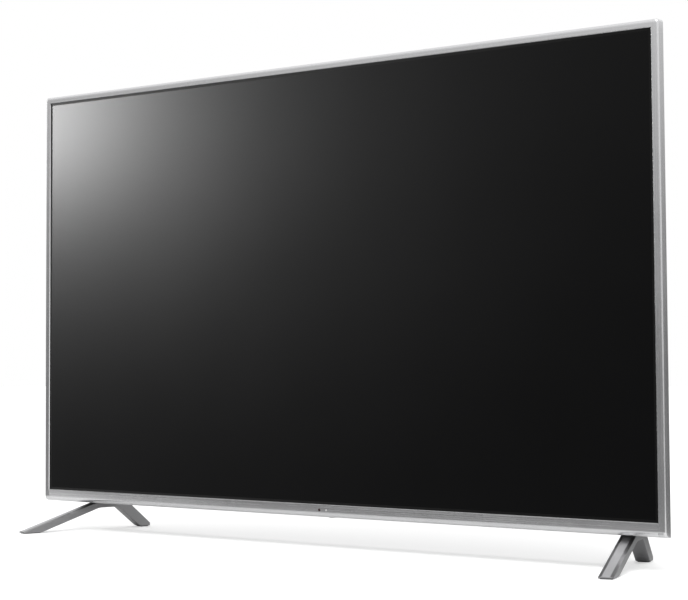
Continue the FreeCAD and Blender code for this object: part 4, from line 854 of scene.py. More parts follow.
@dataclass
class Studio:
    """The floor, the lights and the camera, in metres.

    Floor_bounce says between which distances from the set's middle plane the floor gets darker
    For every ray but the camera's, the floor is a painted pool of light round the set: its four
    numbers say between which distances from the set's middle plane the floor gets darker, and how
    bright it is at both. Dome says between which slopes the room gets lighter, and its light at
    both. Window is the room's brighter side, and window_light says how nearly a direction has to
    point there, and the light at both ends.
    """

    eye: Triple = (1.87739, -2.32684, 0.29929)
    yaw: float = 38.181
    pitch: float = 3.384
    roll: float = -0.321
    lens: float = 97.96
    shift: Pair = (-0.00515, -0.0764)
    far: float = 60.0
    floor_reach: float = 14.0
    floor_glow: float = 0.36
    floor_painted_pool: tuple[float, ...] = (0.14, 0.4, 0.78, 0.14)
    dome: tuple[float, ...] = (0.02, 0.26, 0.15, 1.05)
    window: Triple = (1.0, -0.05, 0.15)
    window_light: tuple[float, ...] = (0.55, 0.85, 0.0, 0.95)

    def build(self) -> None:
        """Sets up everything round the object."""
        bpy.context.scene.view_settings.view_transform = "Standard"
        self.hang_camera()
        self.lay_floor()
        self.light_world()
        self.glow = self.hang_lamp("glow", (-3.994, -1.846, 1.301), (-1.4, -0.025, 0.86),
                                   (2.15, 0.56), 400.0)
        self.hang_lamp("key", (1.6, -2.6, 3.4), (0, 0, 0.2), (2.6, 1.8), 110.0)
        self.hang_lamp("side", (-3.4, -0.5, 1.3), (-0.6, 0, 0.5), (0.6, 0.8), 4.0)
        LOG.info("studio ready")

    def hang_camera(self) -> None:
        """Aims the camera by yaw about Z, pitch upward and roll about its own axis."""
        yaw, pitch, roll = (math.radians(angle) for angle in (self.yaw, self.pitch, self.roll))
        right = Vector((math.cos(yaw), math.sin(yaw), 0))
        ahead = Vector((-math.sin(yaw) * math.cos(pitch), math.cos(yaw) * math.cos(pitch),
                        math.sin(pitch)))
        up = right.cross(ahead)
        across = right * math.cos(roll) + up * math.sin(roll)
        upward = up * math.cos(roll) - right * math.sin(roll)
        data = bpy.data.cameras.new("camera")
        data.lens = self.lens
        data.shift_x, data.shift_y = self.shift
        data.clip_end = self.far
        camera = link("camera", data)
        turn = Matrix((across, upward, -ahead)).transposed().to_4x4()
        camera.matrix_world = Matrix.Translation(self.eye) @ turn
        bpy.context.scene.camera = camera

    def lay_floor(self) -> None:
        """Lays a wide pale floor that is white to the camera apart from the shadow on it, with a
        painted pool of light round the set for every other ray.
        """
        reach = self.floor_reach
        mesh = bpy.data.meshes.new("floor")
        corners = [(-reach, -reach, 0), (reach, -reach, 0), (reach, reach, 0), (-reach, reach, 0)]
        mesh.from_pydata(corners, [], [(0, 1, 2, 3)])
        floor = link("floor", mesh)
        sheet = ShaderSheet("pale_floor")
        # Painted pool of light: for every ray but the camera's, the floor is bright near the set
        # and dark further off.
        away = sheet.sum("ABSOLUTE", sheet.part(sheet.spot(), "Y"))
        near = sheet.spread(away, *self.floor_painted_pool)
        painted_pool = sheet.node("ShaderNodeCombineColor", {0: near, 1: near, 2: near}).outputs[0]
        pale = sheet.blend(sheet.noise(2.0), (0.8, 0.8, 0.8, 1), (0.83, 0.83, 0.83, 1))
        seen = sheet.seen()
        sheet.drive("Base Color", sheet.blend(seen, painted_pool, pale))
        sheet.fix(Roughness=0.9, Specular_IOR_Level=0.1, Emission_Color=(1, 1, 1, 1))
        sheet.drive("Emission Strength", sheet.spread(seen, 0.0, 1.0, 0.0, self.floor_glow))
        mesh.materials.append(sheet.material)

    def light_world(self) -> None:
        """Lights the room from above and one side, with a horizon that the camera sees as white."""
        world = bpy.data.worlds.new("studio")
        bpy.context.scene.world = world
        world.use_nodes = True
        back = world.node_tree.nodes["Background"]
        sheet = NodeSheet(world.node_tree)
        way = sheet.node("ShaderNodeTexCoord").outputs["Generated"]
        dome = sheet.spread(sheet.part(way, "Z"), *self.dome)
        window = sheet.spread(sheet.dot(way, self.window), *self.window_light)
        brightest = sheet.sum("MAXIMUM", sheet.sum("MAXIMUM", sheet.seen(), dome), window)
        sheet.feed(brightest, back.inputs["Strength"])
        sheet.feed((1, 1, 1, 1), back.inputs["Color"])

    def shade_glow(self, screen: Object) -> None:
        """Keeps the lamp of the screen's soft reflection off every other piece.

        Args:
            screen: The piece that it lights.
        """
        group = bpy.data.collections.new("glow_receivers")
        group.objects.link(screen)
        self.glow.light_linking.receiver_collection = group

    def hang_lamp(self, name: str, spot: Sequence[float], aim: Sequence[float],
                  size: Sequence[float], power: float) -> Object:
        """Hangs a soft rectangular lamp.

        Args:
            name: Its name.
            spot: Where it hangs.
            aim: What it points at.
            size: Its width and height.
            power: Its power in watts.

        Returns:
            The lamp.
        """
        data = bpy.data.lights.new(name, "AREA")
        data.shape = "RECTANGLE"
        data.size, data.size_y = size
        data.energy = power
        lamp = link(name, data)
        lamp.location = spot
        lamp.rotation_mode = "QUATERNION"
        lamp.rotation_quaternion = (Vector(aim) - Vector(spot)).to_track_quat("-Z", "Y")
        return lamp


# The front


@dataclass
class FrontSizes:
    """Sizes of the set's front, in millimetres, that its pieces share."""

    open_half: float = 608.9
    side_bezel: float = 11.6
    top_bezel: float = 11.4
    front: float = -26.8
    lip: float = 1.7
    join: float = -11.6
    base: float = 50.0
    open_low: float = 70.0
    open_high: float = 758.6
    bar_round: float = 8.5
    black_border: float = 4.1
    cell_tuck: float = 3.6
    cell_thick: float = 1.4
    window_rise: float = 11.3

    @property
    def top(self) -> float:
        """The set's highest level."""
        return self.open_high + self.top_bezel

    @property
    def cell_front(self) -> float:
        """The depth of the glass behind the bezel."""
        return self.front + self.lip


SILVER = BrushedMetal("bezel_silver", (0.7, 0.7, 0.71), 0.24, legs_from=FrontSizes.open_half * MM)


@dataclass
class BezelSurround:
    """The one-piece surround: two legs and a top, round a screen."""

    size: FrontSizes
    edge_round: float = 3.4
    wall: float = 2.0
    bevel: float = 1.0
    low_bevel: float = 0.25
    corner_round: float = 4.0
    plug: float = 2.0
    step: float = 0.01

    def path(self) -> np.ndarray:
        """Gives stations up the left leg, over the top and down the right leg.

        Returns:
            Rows of inner x, inner z, outer x, outer z. The inner line turns in a point, the
            outer one on an arc, so that stations fan out between the two.
        """
        s = self.size
        half = s.open_half + s.side_bezel
        arc_rise = s.base + s.bar_round - s.bar_round * np.sin(np.radians(np.linspace(90, 0, 12)))
        plug = s.base + s.bar_round + self.plug
        levels = np.concatenate((arc_rise, [plug - self.step, plug + self.step,
                                            s.open_low - 0.2, s.open_low + 0.8,
                                            s.open_high - self.corner_round]))
        leg = np.column_stack((np.full(len(levels), -s.open_half), levels,
                               np.full(len(levels), -half), levels))
        centre = (-half + self.corner_round, s.top - self.corner_round)
        outer = arc(centre, self.corner_round, 180, 90, 10)
        inner = np.full((len(outer), 2), (-s.open_half, s.open_high))
        corner = np.hstack((inner, outer))
        left = np.concatenate((leg, corner))
        right = left[::-1] * np.array((-1, 1, -1, 1))
        return np.concatenate((left, right))

    def section(self, stations: np.ndarray) -> tuple[np.ndarray, np.ndarray]:
        """Gives the wall's section at each station, as a share of its width and a depth.

        The front face runs from a bevel at the opening to a rounded outer edge. Near the floor
        of the leg the depth is squeezed towards the back, which rounds the leg's toe, and the
        hollow behind the lip is filled.

        Args:
            stations: Rows from path.

        Returns:
            Two arrays of stations by section points: the share outwards, and the depth.
        """
        s = self.size
        wide = s.side_bezel
        turn = arc((wide - self.edge_round, s.front + self.edge_round), self.edge_round, -90, 0, 8)
        outline = np.concatenate((
            [(0, s.cell_front), (0, s.front + self.bevel), (self.bevel, s.front),
             (wide / 2, s.front)],
            turn,
            [(wide, s.join), (wide - self.wall, s.join), (wide - self.wall, s.cell_front)],
        ))
        level = stations[:, 1]
        count = len(level)
        across = np.tile(outline[:, 0], (count, 1))
        depth = np.tile(outline[:, 1], (count, 1))
        low = level < s.open_low
        across[low, 2] = self.low_bevel
        depth[low, 1] = s.front + self.low_bevel
        filled = level < s.base + s.bar_round + self.plug
        depth[filled, 0] = s.join
        depth[filled, -1] = s.join
        sink = np.clip(s.base + s.bar_round - level, 0, s.bar_round)
        toe = s.bar_round - np.sqrt(s.bar_round ** 2 - sink ** 2)
        squeeze = (s.join - s.front - toe) / (s.join - s.front)
        depth = s.join - (s.join - depth) * squeeze[:, None]
        return across / wide, depth

    def build(self) -> None:
        """Carries the section along the path: inner + share * (outer - inner), at its depth."""
        stations = self.path()
        share, depth = self.section(stations)
        x = stations[:, :1] + share * (stations[:, 2:3] - stations[:, :1])
        z = stations[:, 1:2] + share * (stations[:, 3:] - stations[:, 1:2])
        made = solid("bezel_surround", surface(np.stack((x, depth, z), axis=-1)))
        replace(made, "brushed_silver", "bezel_frame", finish=SILVER)


@dataclass
class LowerBar:
    """The bar under the screen, with its rounded lower edge and its two small windows."""

    size: FrontSizes
    seam: float = 0.15
    edge: float = 0.4
    window: Pair = (9.0, 2.2)
    lens: Pair = (23.0, 1.2)
    rise: float = 0.2
    flange: float = 0.6
    dark: Finish = MouldedPlastic("dark_window", (0.03, 0.008, 0.008), 0.12, 500.0)
    pale: Finish = MouldedPlastic("pale_lens", (0.7, 0.7, 0.68), 0.3, 500.0)

    def build(self) -> None:
        """Carries the bar's section along X, and turns the two windows."""
        s = self.size
        lower = arc((s.front + s.bar_round, s.base + s.bar_round), s.bar_round, 180, 270, 18)
        inner = s.bar_round - s.lip
        upper = arc((s.cell_front + inner, s.base + s.bar_round), inner, 270, 180, 10)
        section = np.concatenate((
            [(s.cell_front, s.open_low), (s.front + self.edge, s.open_low),
             (s.front, s.open_low - self.edge)],
            lower, [(s.join, s.base), (s.join, s.base + s.lip)], upper,
        ))
        half = s.open_half - self.seam
        spans = np.array((-half, -half + self.edge, half - self.edge, half))
        draw = np.array((self.edge, 0, 0, self.edge))
        middle = (s.front + s.join) / 2
        depth = section[None, :, 0] + np.sign(middle - section[None, :, 0]) * draw[:, None] * 0.5
        points = np.stack((np.broadcast_to(spans[:, None], depth.shape), depth,
                           np.broadcast_to(section[None, :, 1], depth.shape)), axis=-1)
        replace(solid("lower_bar", surface(points)), "brushed_silver", "bottom_bar", finish=SILVER)
        for node, slot, spot, plastic in (
                ("light_window", "dark_window", self.window, self.dark),
                ("standby_lens", "pale_lens", self.lens, self.pale)):
            replace(solid(f"{node}_dome", self.dome(*spot)), slot, node, finish=plastic)

    def dome(self, side: float, radius: float) -> Shape:
        """Turns a shallow dome, front - rise * cos(90 * share), with a flange behind the bar.

        Args:
            side: Its place across.
            radius: Its radius in the bar's face.

        Returns:
            Corners and faces.
        """
        s = self.size
        share = np.linspace(0, 1, 8)
        dome = np.column_stack((radius * share, s.front - self.rise * np.cos(share * np.pi / 2)))
        wide, back = radius + self.flange, s.cell_front + 1.0
        rim = [(radius, s.cell_front), (wide, s.cell_front), (wide, back), (0, back)]
        return lathe(np.concatenate((dome, rim)), (side, 0, s.base + s.window_rise))


@dataclass
class DisplayFace:
    """The display cell: the picture area and the black border printed round it."""

    size: FrontSizes
    picture: Finish = ScreenGlass("picture_area", (0.0008, 0.0008, 0.0009), 0.256, 0.1)
    border: Finish = ScreenGlass("black_border", (0.001, 0.001, 0.001), 0.5, 0.05)

    def build(self) -> Object:
        """Lays the cell's faces on lines at its edges and at the picture's edges.

        Returns:
            The cell.
        """
        s = self.size
        half = s.open_half + s.cell_tuck
        shown = s.open_half - s.black_border
        x = np.array((-half, -shown, shown, half))
        z = np.array((s.open_low - s.cell_tuck, s.open_low + s.black_border,
                      s.open_high - s.black_border, s.open_high + s.cell_tuck))
        across, up = np.meshgrid(x, z, indexing="ij")
        depths = (s.cell_front, s.cell_front + s.cell_thick)
        layers = [surface(np.stack((across, np.full(across.shape, depth), up), axis=-1), False)
                  for depth in depths]
        rim = np.array([(0, 0), (1, 0), (2, 0), (3, 0), (3, 1), (3, 2), (3, 3), (2, 3), (1, 3),
                        (0, 3), (0, 2), (0, 1), (0, 0)])
        ring = np.column_stack((x[rim[:, 0]], z[rim[:, 1]]))
        band = np.stack([np.insert(ring, 1, depth, axis=1) for depth in depths])
        layers.append(surface(band, False))
        made = solid("display_face", merge(layers))
        made.data.materials.append(paint(self.picture))
        made.data.materials.append(paint(self.border))
        for face in made.data.polygons:
            spot = face.center / MM
            inside = abs(spot.x) < shown and z[1] < spot.z < z[2] and spot.y < s.cell_front + 0.1
            face.material_index = 0 if inside else 1
        replace(made, "screen_glass", "display_panel")
        return made


# The feet


@dataclass
class BarFoot:
    """A bevelled bar bent into an arch, with its pads, drawn along its own length."""

    side: Side
    spot: float = 543.4
    splay: float = 16.64
    half_wide: float = 11.0
    reach: float = 123.2
    base: float = 50.0
    lift: float = 1.2
    front_nose: float = 2.6
    rear_nose: float = 6.5
    land: Pair = (22.0, 76.0)
    arch: Pair = (22.0, 60.0)
    arch_rise: float = 38.0
    contact: Pair = (34.0, 19.5)
    bevel: Pair = (5.0, 1.3)
    edge: float = 0.7
    screws: Pair = (42.0, 52.0)
    hole: float = 2.7
    recess: float = 4.3
    recess_deep: float = 4.0
    top_soft: float = 1.2
    arch_soft: Pair = (5.0, 4.0)
    end_soft: float = 1.0
    ends_from: float = 80.0
    crease: float = 24.0
    ends: Sequence[Pair] = ((0.0, 0.5), (0.12, 0.24), (0.4, 0.06), (0.7, 0.0))

    def place(self, across: np.ndarray, along: np.ndarray, up: np.ndarray) -> np.ndarray:
        """Turns points drawn along the foot to its splay and puts them at its side of the set.

        Args:
            across: Places across the foot.
            along: Places along it.
            up: Heights.

        Returns:
            Points of the set.
        """
        angle = math.radians(self.splay) * self.side.value
        x = self.side.value * self.spot + across * math.cos(angle) - along * math.sin(angle)
        y = across * math.sin(angle) + along * math.cos(angle)
        return np.stack((x, y, up), axis=-1)

    def lines(self, along: np.ndarray) -> tuple[np.ndarray, np.ndarray]:
        """Gives the foot's top and underside at places along it.

        Both are straight lines between their corners, averaged over a short window, which
        rounds each corner by about the window's length.

        Args:
            along: Places along the foot.

        Returns:
            The height of the top and of the underside at each place.
        """
        window = np.linspace(-1, 1, 21)[None, :]
        top_at = [-self.reach, *self.land, self.reach]
        top_z = [self.lift + self.front_nose, self.base, self.base, self.lift + self.rear_nose]
        top = np.interp(along[:, None] + self.top_soft * window, top_at, top_z)
        over = np.minimum(top, self.base).mean(axis=1)
        over[0], over[-1] = top_z[0], top_z[-1]
        low_at = [-self.reach, self.contact[0] - self.reach, *self.arch,
                  self.reach - self.contact[1], self.reach]
        low_z = [self.lift, self.lift, self.arch_rise, self.arch_rise, self.lift, self.lift]
        front, rear = self.arch_soft
        soft = np.where(along > sum(self.arch) / 2, rear, front)
        soft = np.where(np.abs(along) > self.ends_from, self.end_soft, soft)[:, None]
        under = np.interp(along[:, None] + soft * window, low_at, low_z).mean(axis=1)
        return over, under

    def section(self, top: np.ndarray, under: np.ndarray, inset: np.ndarray) -> np.ndarray:
        """Gives the bar's section at each station: flat top, two shallow bevels, upright flanks.

        Args:
            top: Heights of the top.
            under: Heights of the underside.
            inset: How far each section is drawn in, which rounds the ends.

        Returns:
            Stations by section points by (across, up).
        """
        half = self.half_wide - inset
        wide, deep = self.bevel
        soft = self.edge
        shoulder = top - deep
        corners = []
        for sign in (1, -1):
            side = [
                (half - soft, under + inset), (half - soft * 0.3, under + soft * 0.3 + inset),
                (half, under + soft + inset), (half, shoulder - soft * 0.7 - inset),
                (half - soft * 0.15, shoulder - soft * 0.1 - inset),
                (half - soft, shoulder + deep * soft / wide - inset),
                (half - wide + soft, top - deep * soft / wide - inset),
                (half - wide, top - deep * soft * 0.3 / wide - inset),
                (half - wide - soft, top - inset),
            ]
            pairs = [np.stack((sign * a, b), axis=-1) for a, b in side]
            corners += pairs if sign > 0 else pairs[::-1]
        return np.stack(corners, axis=1)

    def finish(self) -> Finish:
        """Gives the foot's metal, whose grain and lacquered strip follow its splay, and whose
        flanks, bevels and underside carry painted shade.

        Returns:
            The finish.
        """
        turn = -self.side.value * self.splay
        middle = self.side.value * self.spot * math.cos(math.radians(turn)) * MM
        strip = (middle, (self.half_wide - self.bevel[0]) * MM)
        return BrushedMetal(f"foot_silver_{self.side.name.lower()}", (0.46, 0.46, 0.47), 0.44,
                            Run.ALONG_Y, turn=turn, strip=strip)

    def build(self) -> None:
        """Carries the section along the foot and drills the holes for its screws.

        The sections stand closest at the arch and at the ends. Ends gives, for the first few,
        how far from the end each one lies and how far it is drawn in.
        """
        near = self.ends_from
        steps = np.concatenate((np.linspace(-self.reach, -near, 24), np.linspace(2 - near, 10, 36),
                                np.linspace(11, near - 2, 68), np.linspace(near, self.reach, 30)))
        ease, draw = np.array(self.ends).T
        along = np.concatenate((-self.reach + ease, steps[1:-1], self.reach - ease[::-1]))
        top, under = self.lines(along)
        inset = np.zeros(len(along))
        inset[:len(draw)] = draw
        inset[-len(draw):] = draw[::-1]
        ring = self.section(top, under, inset)
        across, up = ring[..., 0], ring[..., 1]
        points = self.place(across, np.broadcast_to(along[:, None], across.shape), up)
        name = self.side.name.lower()
        made = solid(f"{name}_bar_foot", surface(points), self.crease)
        self.drill(made)
        level(made)
        replace(made, "foot_metal", f"foot_{name}", finish=self.finish())

    def screw_spots(self) -> np.ndarray:
        """Gives the places of the foot's screws, across the set and back."""
        middle = np.zeros(len(self.screws))
        return self.place(middle, np.array(self.screws), middle)[:, :2]

    def drill(self, piece: Object) -> None:
        """Cuts a plain hole and a wider recess below it at each screw.

        Args:
            piece: The foot.
        """
        shoulder, end = self.arch_rise + self.recess_deep, self.base + 2
        profile = [(0, -1), (self.recess, -1), (self.recess, shoulder), (self.hole, shoulder),
                   (self.hole, end), (0, end)]
        tools = [lathe(profile, (x, y, 0), "Z", 32) for x, y in self.screw_spots()]
        cutter = solid("drill", merge(tools))
        cut = piece.modifiers.new("holes", "BOOLEAN")
        cut.object = cutter
        cut.solver = "EXACT"
        bpy.context.view_layer.update()
        shaped = piece.evaluated_get(bpy.context.evaluated_depsgraph_get())
        mesh = bpy.data.meshes.new_from_object(shaped)
        piece.modifiers.clear()
        piece.data = mesh
        bpy.data.objects.remove(cutter)
        tidy(piece, self.crease)


# Screws and small turned pieces


@dataclass
class CrossScrew:
    """A pan head screw with a cross recess."""

    head: float
    tall: float
    shank: float
    recess: float = 1.5
    arm: float = 0.45
    arm_end: float = 0.62
    steps: int = 64

    def shape(self, place: Sequence[float], facing: float, reach: float,
              axis: str = "Y") -> Shape:
        """Works out the screw as one turned surface whose dome is pressed in by a cross.

        The head's height over the seat is tall * sqrt(1 - 0.75 * share ** 2), less the recess
        where the point lies within an arm of the cross, faded by its distance from the middle.

        Args:
            place: The middle of the seat under the head.
            facing: 1 if the head points up the axis, -1 if down.
            reach: The shank's length below the seat.
            axis: The screw's axis, "Y" or "Z".

        Returns:
            Corners and faces.
        """
        angles = np.linspace(0, 2 * np.pi, self.steps, endpoint=False)[:, None]
        share = np.concatenate((np.linspace(0.001, 0.6, 14), np.linspace(0.65, 1.0, 8)))
        radius = share * self.head * np.ones_like(angles)
        near = np.minimum(np.abs(radius * np.cos(angles)), np.abs(radius * np.sin(angles)))
        inside = (np.clip((self.arm - near) / 0.12, 0, 1)
                  * np.clip((self.arm_end - share) / 0.08, 0, 1))
        height = self.tall * np.sqrt(1 - 0.75 * share ** 2) - self.recess * inside * (1 - share)
        rest = np.array([(self.head, 0.0), (self.shank, 0.0), (self.shank, -reach),
                         (0.001, -reach)])
        low_radius, low_height = np.tile(rest.T[:, None], (1, self.steps, 1))
        return spin(np.hstack((radius, low_radius)), np.hstack((height, low_height)) * facing,
                    place, axis)


@dataclass
class FootFittings:
    """The screws and the grooved rubber pads of both feet."""

    feet: Sequence[BarFoot]
    seat: float = 42.0
    reach: float = 16.0
    margin: float = 2.5
    groove: float = 0.5
    groove_wide: float = 1.0
    slant: float = 0.05
    rubber: Finish = SoftRubber("grooved_rubber")

    def build(self) -> None:
        """Makes both pieces."""
        screw = CrossScrew(head=4.0, tall=3.5, shank=2.4, recess=2.2, arm=0.6)
        screws, pads = [], []
        for foot in self.feet:
            screws += [screw.shape((x, y, self.seat), -1, self.reach, "Z")
                       for x, y in foot.screw_spots()]
            front, rear = foot.contact
            pads.append(self.pad(foot, self.margin - foot.reach, front - foot.reach - self.margin))
            pads.append(self.pad(foot, foot.reach - rear + self.margin, foot.reach - self.margin))
        replace(solid("foot_cross_screws", merge(screws)), "post_steel", "foot_screws",
                finish=STEEL)
        replace(solid("grooved_pads", merge(pads)), "pad_rubber", "foot_pads", finish=self.rubber)

    def pad(self, foot: BarFoot, start: float, end: float) -> Shape:
        """Shapes one pad: its underside is a row of square grooves across the foot.

        Args:
            foot: The foot it sits under.
            start: Where along the foot it starts.
            end: Where it ends.

        Returns:
            Corners and faces.
        """
        count = int((end - start) / self.groove_wide)
        edges = np.linspace(start, end, count + 1)
        along = np.concatenate((edges[:1], np.repeat(edges[1:-1], 2), edges[-1:]))
        along[1:-1:2] -= self.slant
        along[2:-1:2] += self.slant
        low = np.where(np.repeat(np.arange(count) % 2, 2), self.groove, 0.0)
        half = foot.half_wide - self.margin
        across = np.tile((half, half, -half, -half), (len(along), 1))
        top = np.full(len(along), foot.lift)
        up = np.stack((low, top, top, low), axis=1)
        return surface(foot.place(across, np.broadcast_to(along[:, None], across.shape), up))


# The back


@dataclass
class RearHousing:
    """The rear cover with its screws and its four wall posts.

    Wells says how far from the middle the screws in wells and along the top stand.
    """

    wells: Pair = (470.0, 420.0)
    well_levels: Pair = (140.0, 595.0)
    rim_level: float = 710.0
    back: float = 57.2
    seat: float = 8.7
    tray: float = 2.7
    edge: float = 0.5
    pattern: float = 400.0
    pattern_level: float = 380.0
    post_radius: float = 9.0
    bore: float = 3.0
    bore_deep: float = 20.0
    shell: Finish = MouldedPlastic("shell_black", (0.022, 0.022, 0.024), 0.48, 1100.0, 0.00012)

    def screw_spots(self) -> list[Pair]:
        """Gives the places of the cover's screws: four in wells and three along the top.

        Returns:
            Places across and up.
        """
        out, rim = self.wells
        spots = [(sign * out, z) for sign in (-1, 1) for z in self.well_levels]
        return spots + [(rim * step, self.rim_level) for step in (-1, 0, 1)]

    def build(self) -> None:
        """Makes the softened cover, its screws and the posts."""
        self.build_cover()
        screw = CrossScrew(head=3.2, tall=2.0, shank=1.45)
        reach = self.seat - self.tray - self.edge
        screws = [screw.shape((x, self.seat, z), 1, reach) for x, z in self.screw_spots()]
        replace(solid("cover_screws", merge(screws)), "post_steel", "rear_cover_screws",
                finish=STEEL)
        half, middle = self.pattern / 2, self.pattern_level
        posts = [self.post(half * i, middle + half * j) for i in (-1, 1) for j in (-1, 1)]
        replace(solid("threaded_posts", merge(posts)), "post_steel", "wall_mount_posts",
                finish=STEEL)

    def build_cover(self) -> None:
        """Copies the cover's solid, merges its triangles and softens its edges."""
        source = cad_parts["rear_cover"]
        mesh = source.data.copy()
        mesh.materials.clear()
        made = link("rear_shell", mesh)
        work = bmesh.new()
        work.from_mesh(mesh)
        bmesh.ops.remove_doubles(work, verts=work.verts, dist=2e-6)
        bmesh.ops.dissolve_limit(work, angle_limit=math.radians(0.5), verts=work.verts,
                                 edges=work.edges)
        work.to_mesh(mesh)
        work.free()
        soften = made.modifiers.new("soften", "BEVEL")
        soften.width = self.edge * MM
        soften.segments = 2
        soften.limit_method = "ANGLE"
        soften.angle_limit = math.radians(35)
        level(made)
        smooth(mesh)
        replace(made, "cover_black", "rear_cover", finish=self.shell)

    def post(self, x: float, z: float) -> Shape:
        """Turns a post whose bore has a screw thread.

        Args:
            x: The post's place across.
            z: Its place up.

        Returns:
            Corners and faces.
        """
        mouth, wide = self.back - self.edge, self.post_radius
        floor = mouth - self.bore_deep
        return thread((x, z), (floor, mouth - 0.6), self.bore, -0.35, 1.0, [(0.001, floor)],
                      [(self.bore + 0.5, mouth), (wide - 0.6, mouth), (wide, mouth - 0.6),
                       (wide, self.tray), (0.001, self.tray)])


@dataclass
class DustMesh:
    """A fine woven mesh behind the cover's vents."""

    half_wide: float = 164.0
    low: float = 558.0
    high: float = 612.0
    seat: float = 53.8
    pitch: float = 2.0
    thread: float = 1.6

    def build(self) -> None:
        """Weaves it: depth = seat + sway at one crossing and seat - sway at the next."""
        across = np.arange(-self.half_wide, self.half_wide, self.pitch)
        upward = np.arange(self.low, self.high, self.pitch)
        sway = self.thread / 4
        odd = (np.arange(len(across))[:, None] + np.arange(len(upward))) % 2
        depth = self.seat + sway * np.where(odd, 1, -1)
        shapes = [wire(np.column_stack((np.full(len(upward), x), row, upward)), sway, sides=3)
                  for x, row in zip(across, depth)]
        depth = self.seat + sway * np.where(odd, -1, 1)
        shapes += [wire(np.column_stack((across, row, np.full(len(across), z))), sway, sides=3)
                   for z, row in zip(upward, depth.T)]
        replace(solid("vent_dust_mesh", merge(shapes)), "cover_black", finish=BLACK)


@dataclass
class Sockets:
    """What shows in and on the sockets: barrels, tongues, contacts and a door.

    Jacks, antennas, lan and optical are places across; video and data are heights at the side.
    """

    jacks: tuple[float, ...] = (-325.0, -339.0, -353.0, -367.0, -381.0)
    antennas: Pair = (-279.0, -299.0)
    optical: float = -402.0
    lan: float = -422.0
    level: float = 280.0
    board: float = 10.3
    step: float = 20.4
    mouth: float = 22.4
    door: float = 21.6
    side_mouth: float = -476.4
    tongue: float = 10.0
    shutter: float = 2.9
    video: Triple = (356.0, 378.0, 400.0)
    data: float = 424.0
    video_pitch: float = 0.5
    lan_pitch: float = 1.02

    def build(self) -> None:
        """Makes the pieces."""
        self.build_jacks()
        self.build_antennas()
        start, end = self.side_mouth + 0.9, self.side_mouth + self.tongue
        tongues = [box((start, 12.9, z - 5.2), (end, 14.1, z + 5.2), 0.25) for z in self.video]
        tongues.append(box((start, 14.1, self.data - 5.4), (end, 15.9, self.data + 5.4), 0.3))
        groups = [(merge(tongues), BLACK), (merge(self.contacts()), GOLD)]
        replace(painted("socket_tongues", groups), "socket_black")
        half = self.shutter
        door = box((self.optical - half, self.door - 0.7, self.level - half),
                   (self.optical + half, self.door, self.level + half), 0.35)
        rim = lathe([(0.001, self.door), (0.7, self.door), (0.8, self.door + 0.3),
                     (0.001, self.door + 0.35)], (self.optical, 0, self.level), "Y", 20)
        replace(solid("optical_door", merge((door, rim))), "socket_black", finish=BLACK)

    def contacts(self) -> list[Shape]:
        """Gives the contacts: 19 to a video socket, four in the data one and eight springs.

        Returns:
            Their shapes.
        """
        made = []
        for z in self.video:
            for i in range(19):
                low = 14.08 if i % 2 else 12.78
                side = z + (i - 9) * self.video_pitch
                made.append(brick((self.side_mouth + 1.5, low, side - 0.13),
                                  (self.side_mouth + 8.0, low + 0.14, side + 0.13)))
        for side in (self.data - 3.5, self.data - 1.0, self.data + 1.0, self.data + 3.5):
            made.append(brick((self.side_mouth + 1.6, 13.9, side - 0.5),
                              (self.side_mouth + 8.5, 14.15, side + 0.5)))
        spring = ((13.2, 279.6), (15.0, 281.2), (20.6, 283.4), (21.6, 283.6))
        for i in range(8):
            x = self.lan + (i - 3.5) * self.lan_pitch
            made.append(wire(np.array([(x, y, z) for y, z in spring]), 0.22, sides=6))
        return made

    def foot(self, x: float, half: float, soft: float) -> Shape:
        """Gives the square moulding between the board and a barrel."""
        return box((x - half, self.board, self.level - half),
                   (x + half, self.step, self.level + half), soft)

    def build_jacks(self) -> None:
        """Turns each jack's plated barrel round a dyed insert and a sleeve, on its foot."""
        end, step = self.mouth + 9.0, self.step
        barrel = [(3.3, end - 4.0), (3.3, end - 0.4), (3.5, end), (3.95, end), (4.15, end - 0.2),
                  (4.15, step), (3.3, step), (3.3, end - 4.0)]
        insert = [(1.6, step + 1), (1.6, end - 1.2), (1.9, end - 0.9), (3.1, end - 0.9),
                  (3.3, end - 1.1), (3.3, step + 1), (1.6, step + 1)]
        sleeve = [(1.6, end - 6), (1.6, end - 1.4), (1.4, end - 1.3), (1.25, end - 1.6),
                  (1.25, end - 6), (1.6, end - 6)]
        groups = []
        for x, dye in zip(self.jacks, DYES):
            groups.append((self.foot(x, 5, 0.6), BLACK))
            groups += [(lathe(profile, (x, 0, self.level)), finish)
                       for profile, finish in ((barrel, TIN), (insert, dye), (sleeve, TIN))]
        replace(painted("dyed_jacks", groups), "jack_ring", "av_jacks")

    def build_antennas(self) -> None:
        """Turns each antenna socket's threaded barrel, with its white insulator, on its foot."""
        end, step, wide = self.mouth + 10.0, self.step, 4.75
        insert = [(0.5, end - 2.0), (0.5, end - 1.0), (0.8, end - 0.7), (3.1, end - 0.7),
                  (3.1, end - 2.0), (0.5, end - 2.0)]
        groups = []
        for x in self.antennas:
            shell = thread((x, self.level), (step + 1.2, end - 0.6), wide, -0.32, 0.8,
                           [(0.001, step), (wide, step)],
                           [(4.2, end), (3.3, end), (3.1, end - 0.5), (3.1, end - 2.0),
                            (0.001, end - 2.0)])
            groups += [(self.foot(x, 7, 0.8), BLACK), (shell, TIN),
                       (lathe(insert, (x, 0, self.level)), DYES[3])]
        replace(painted("threaded_antennas", groups), "tin_plate", "antenna_sockets")


# The inside


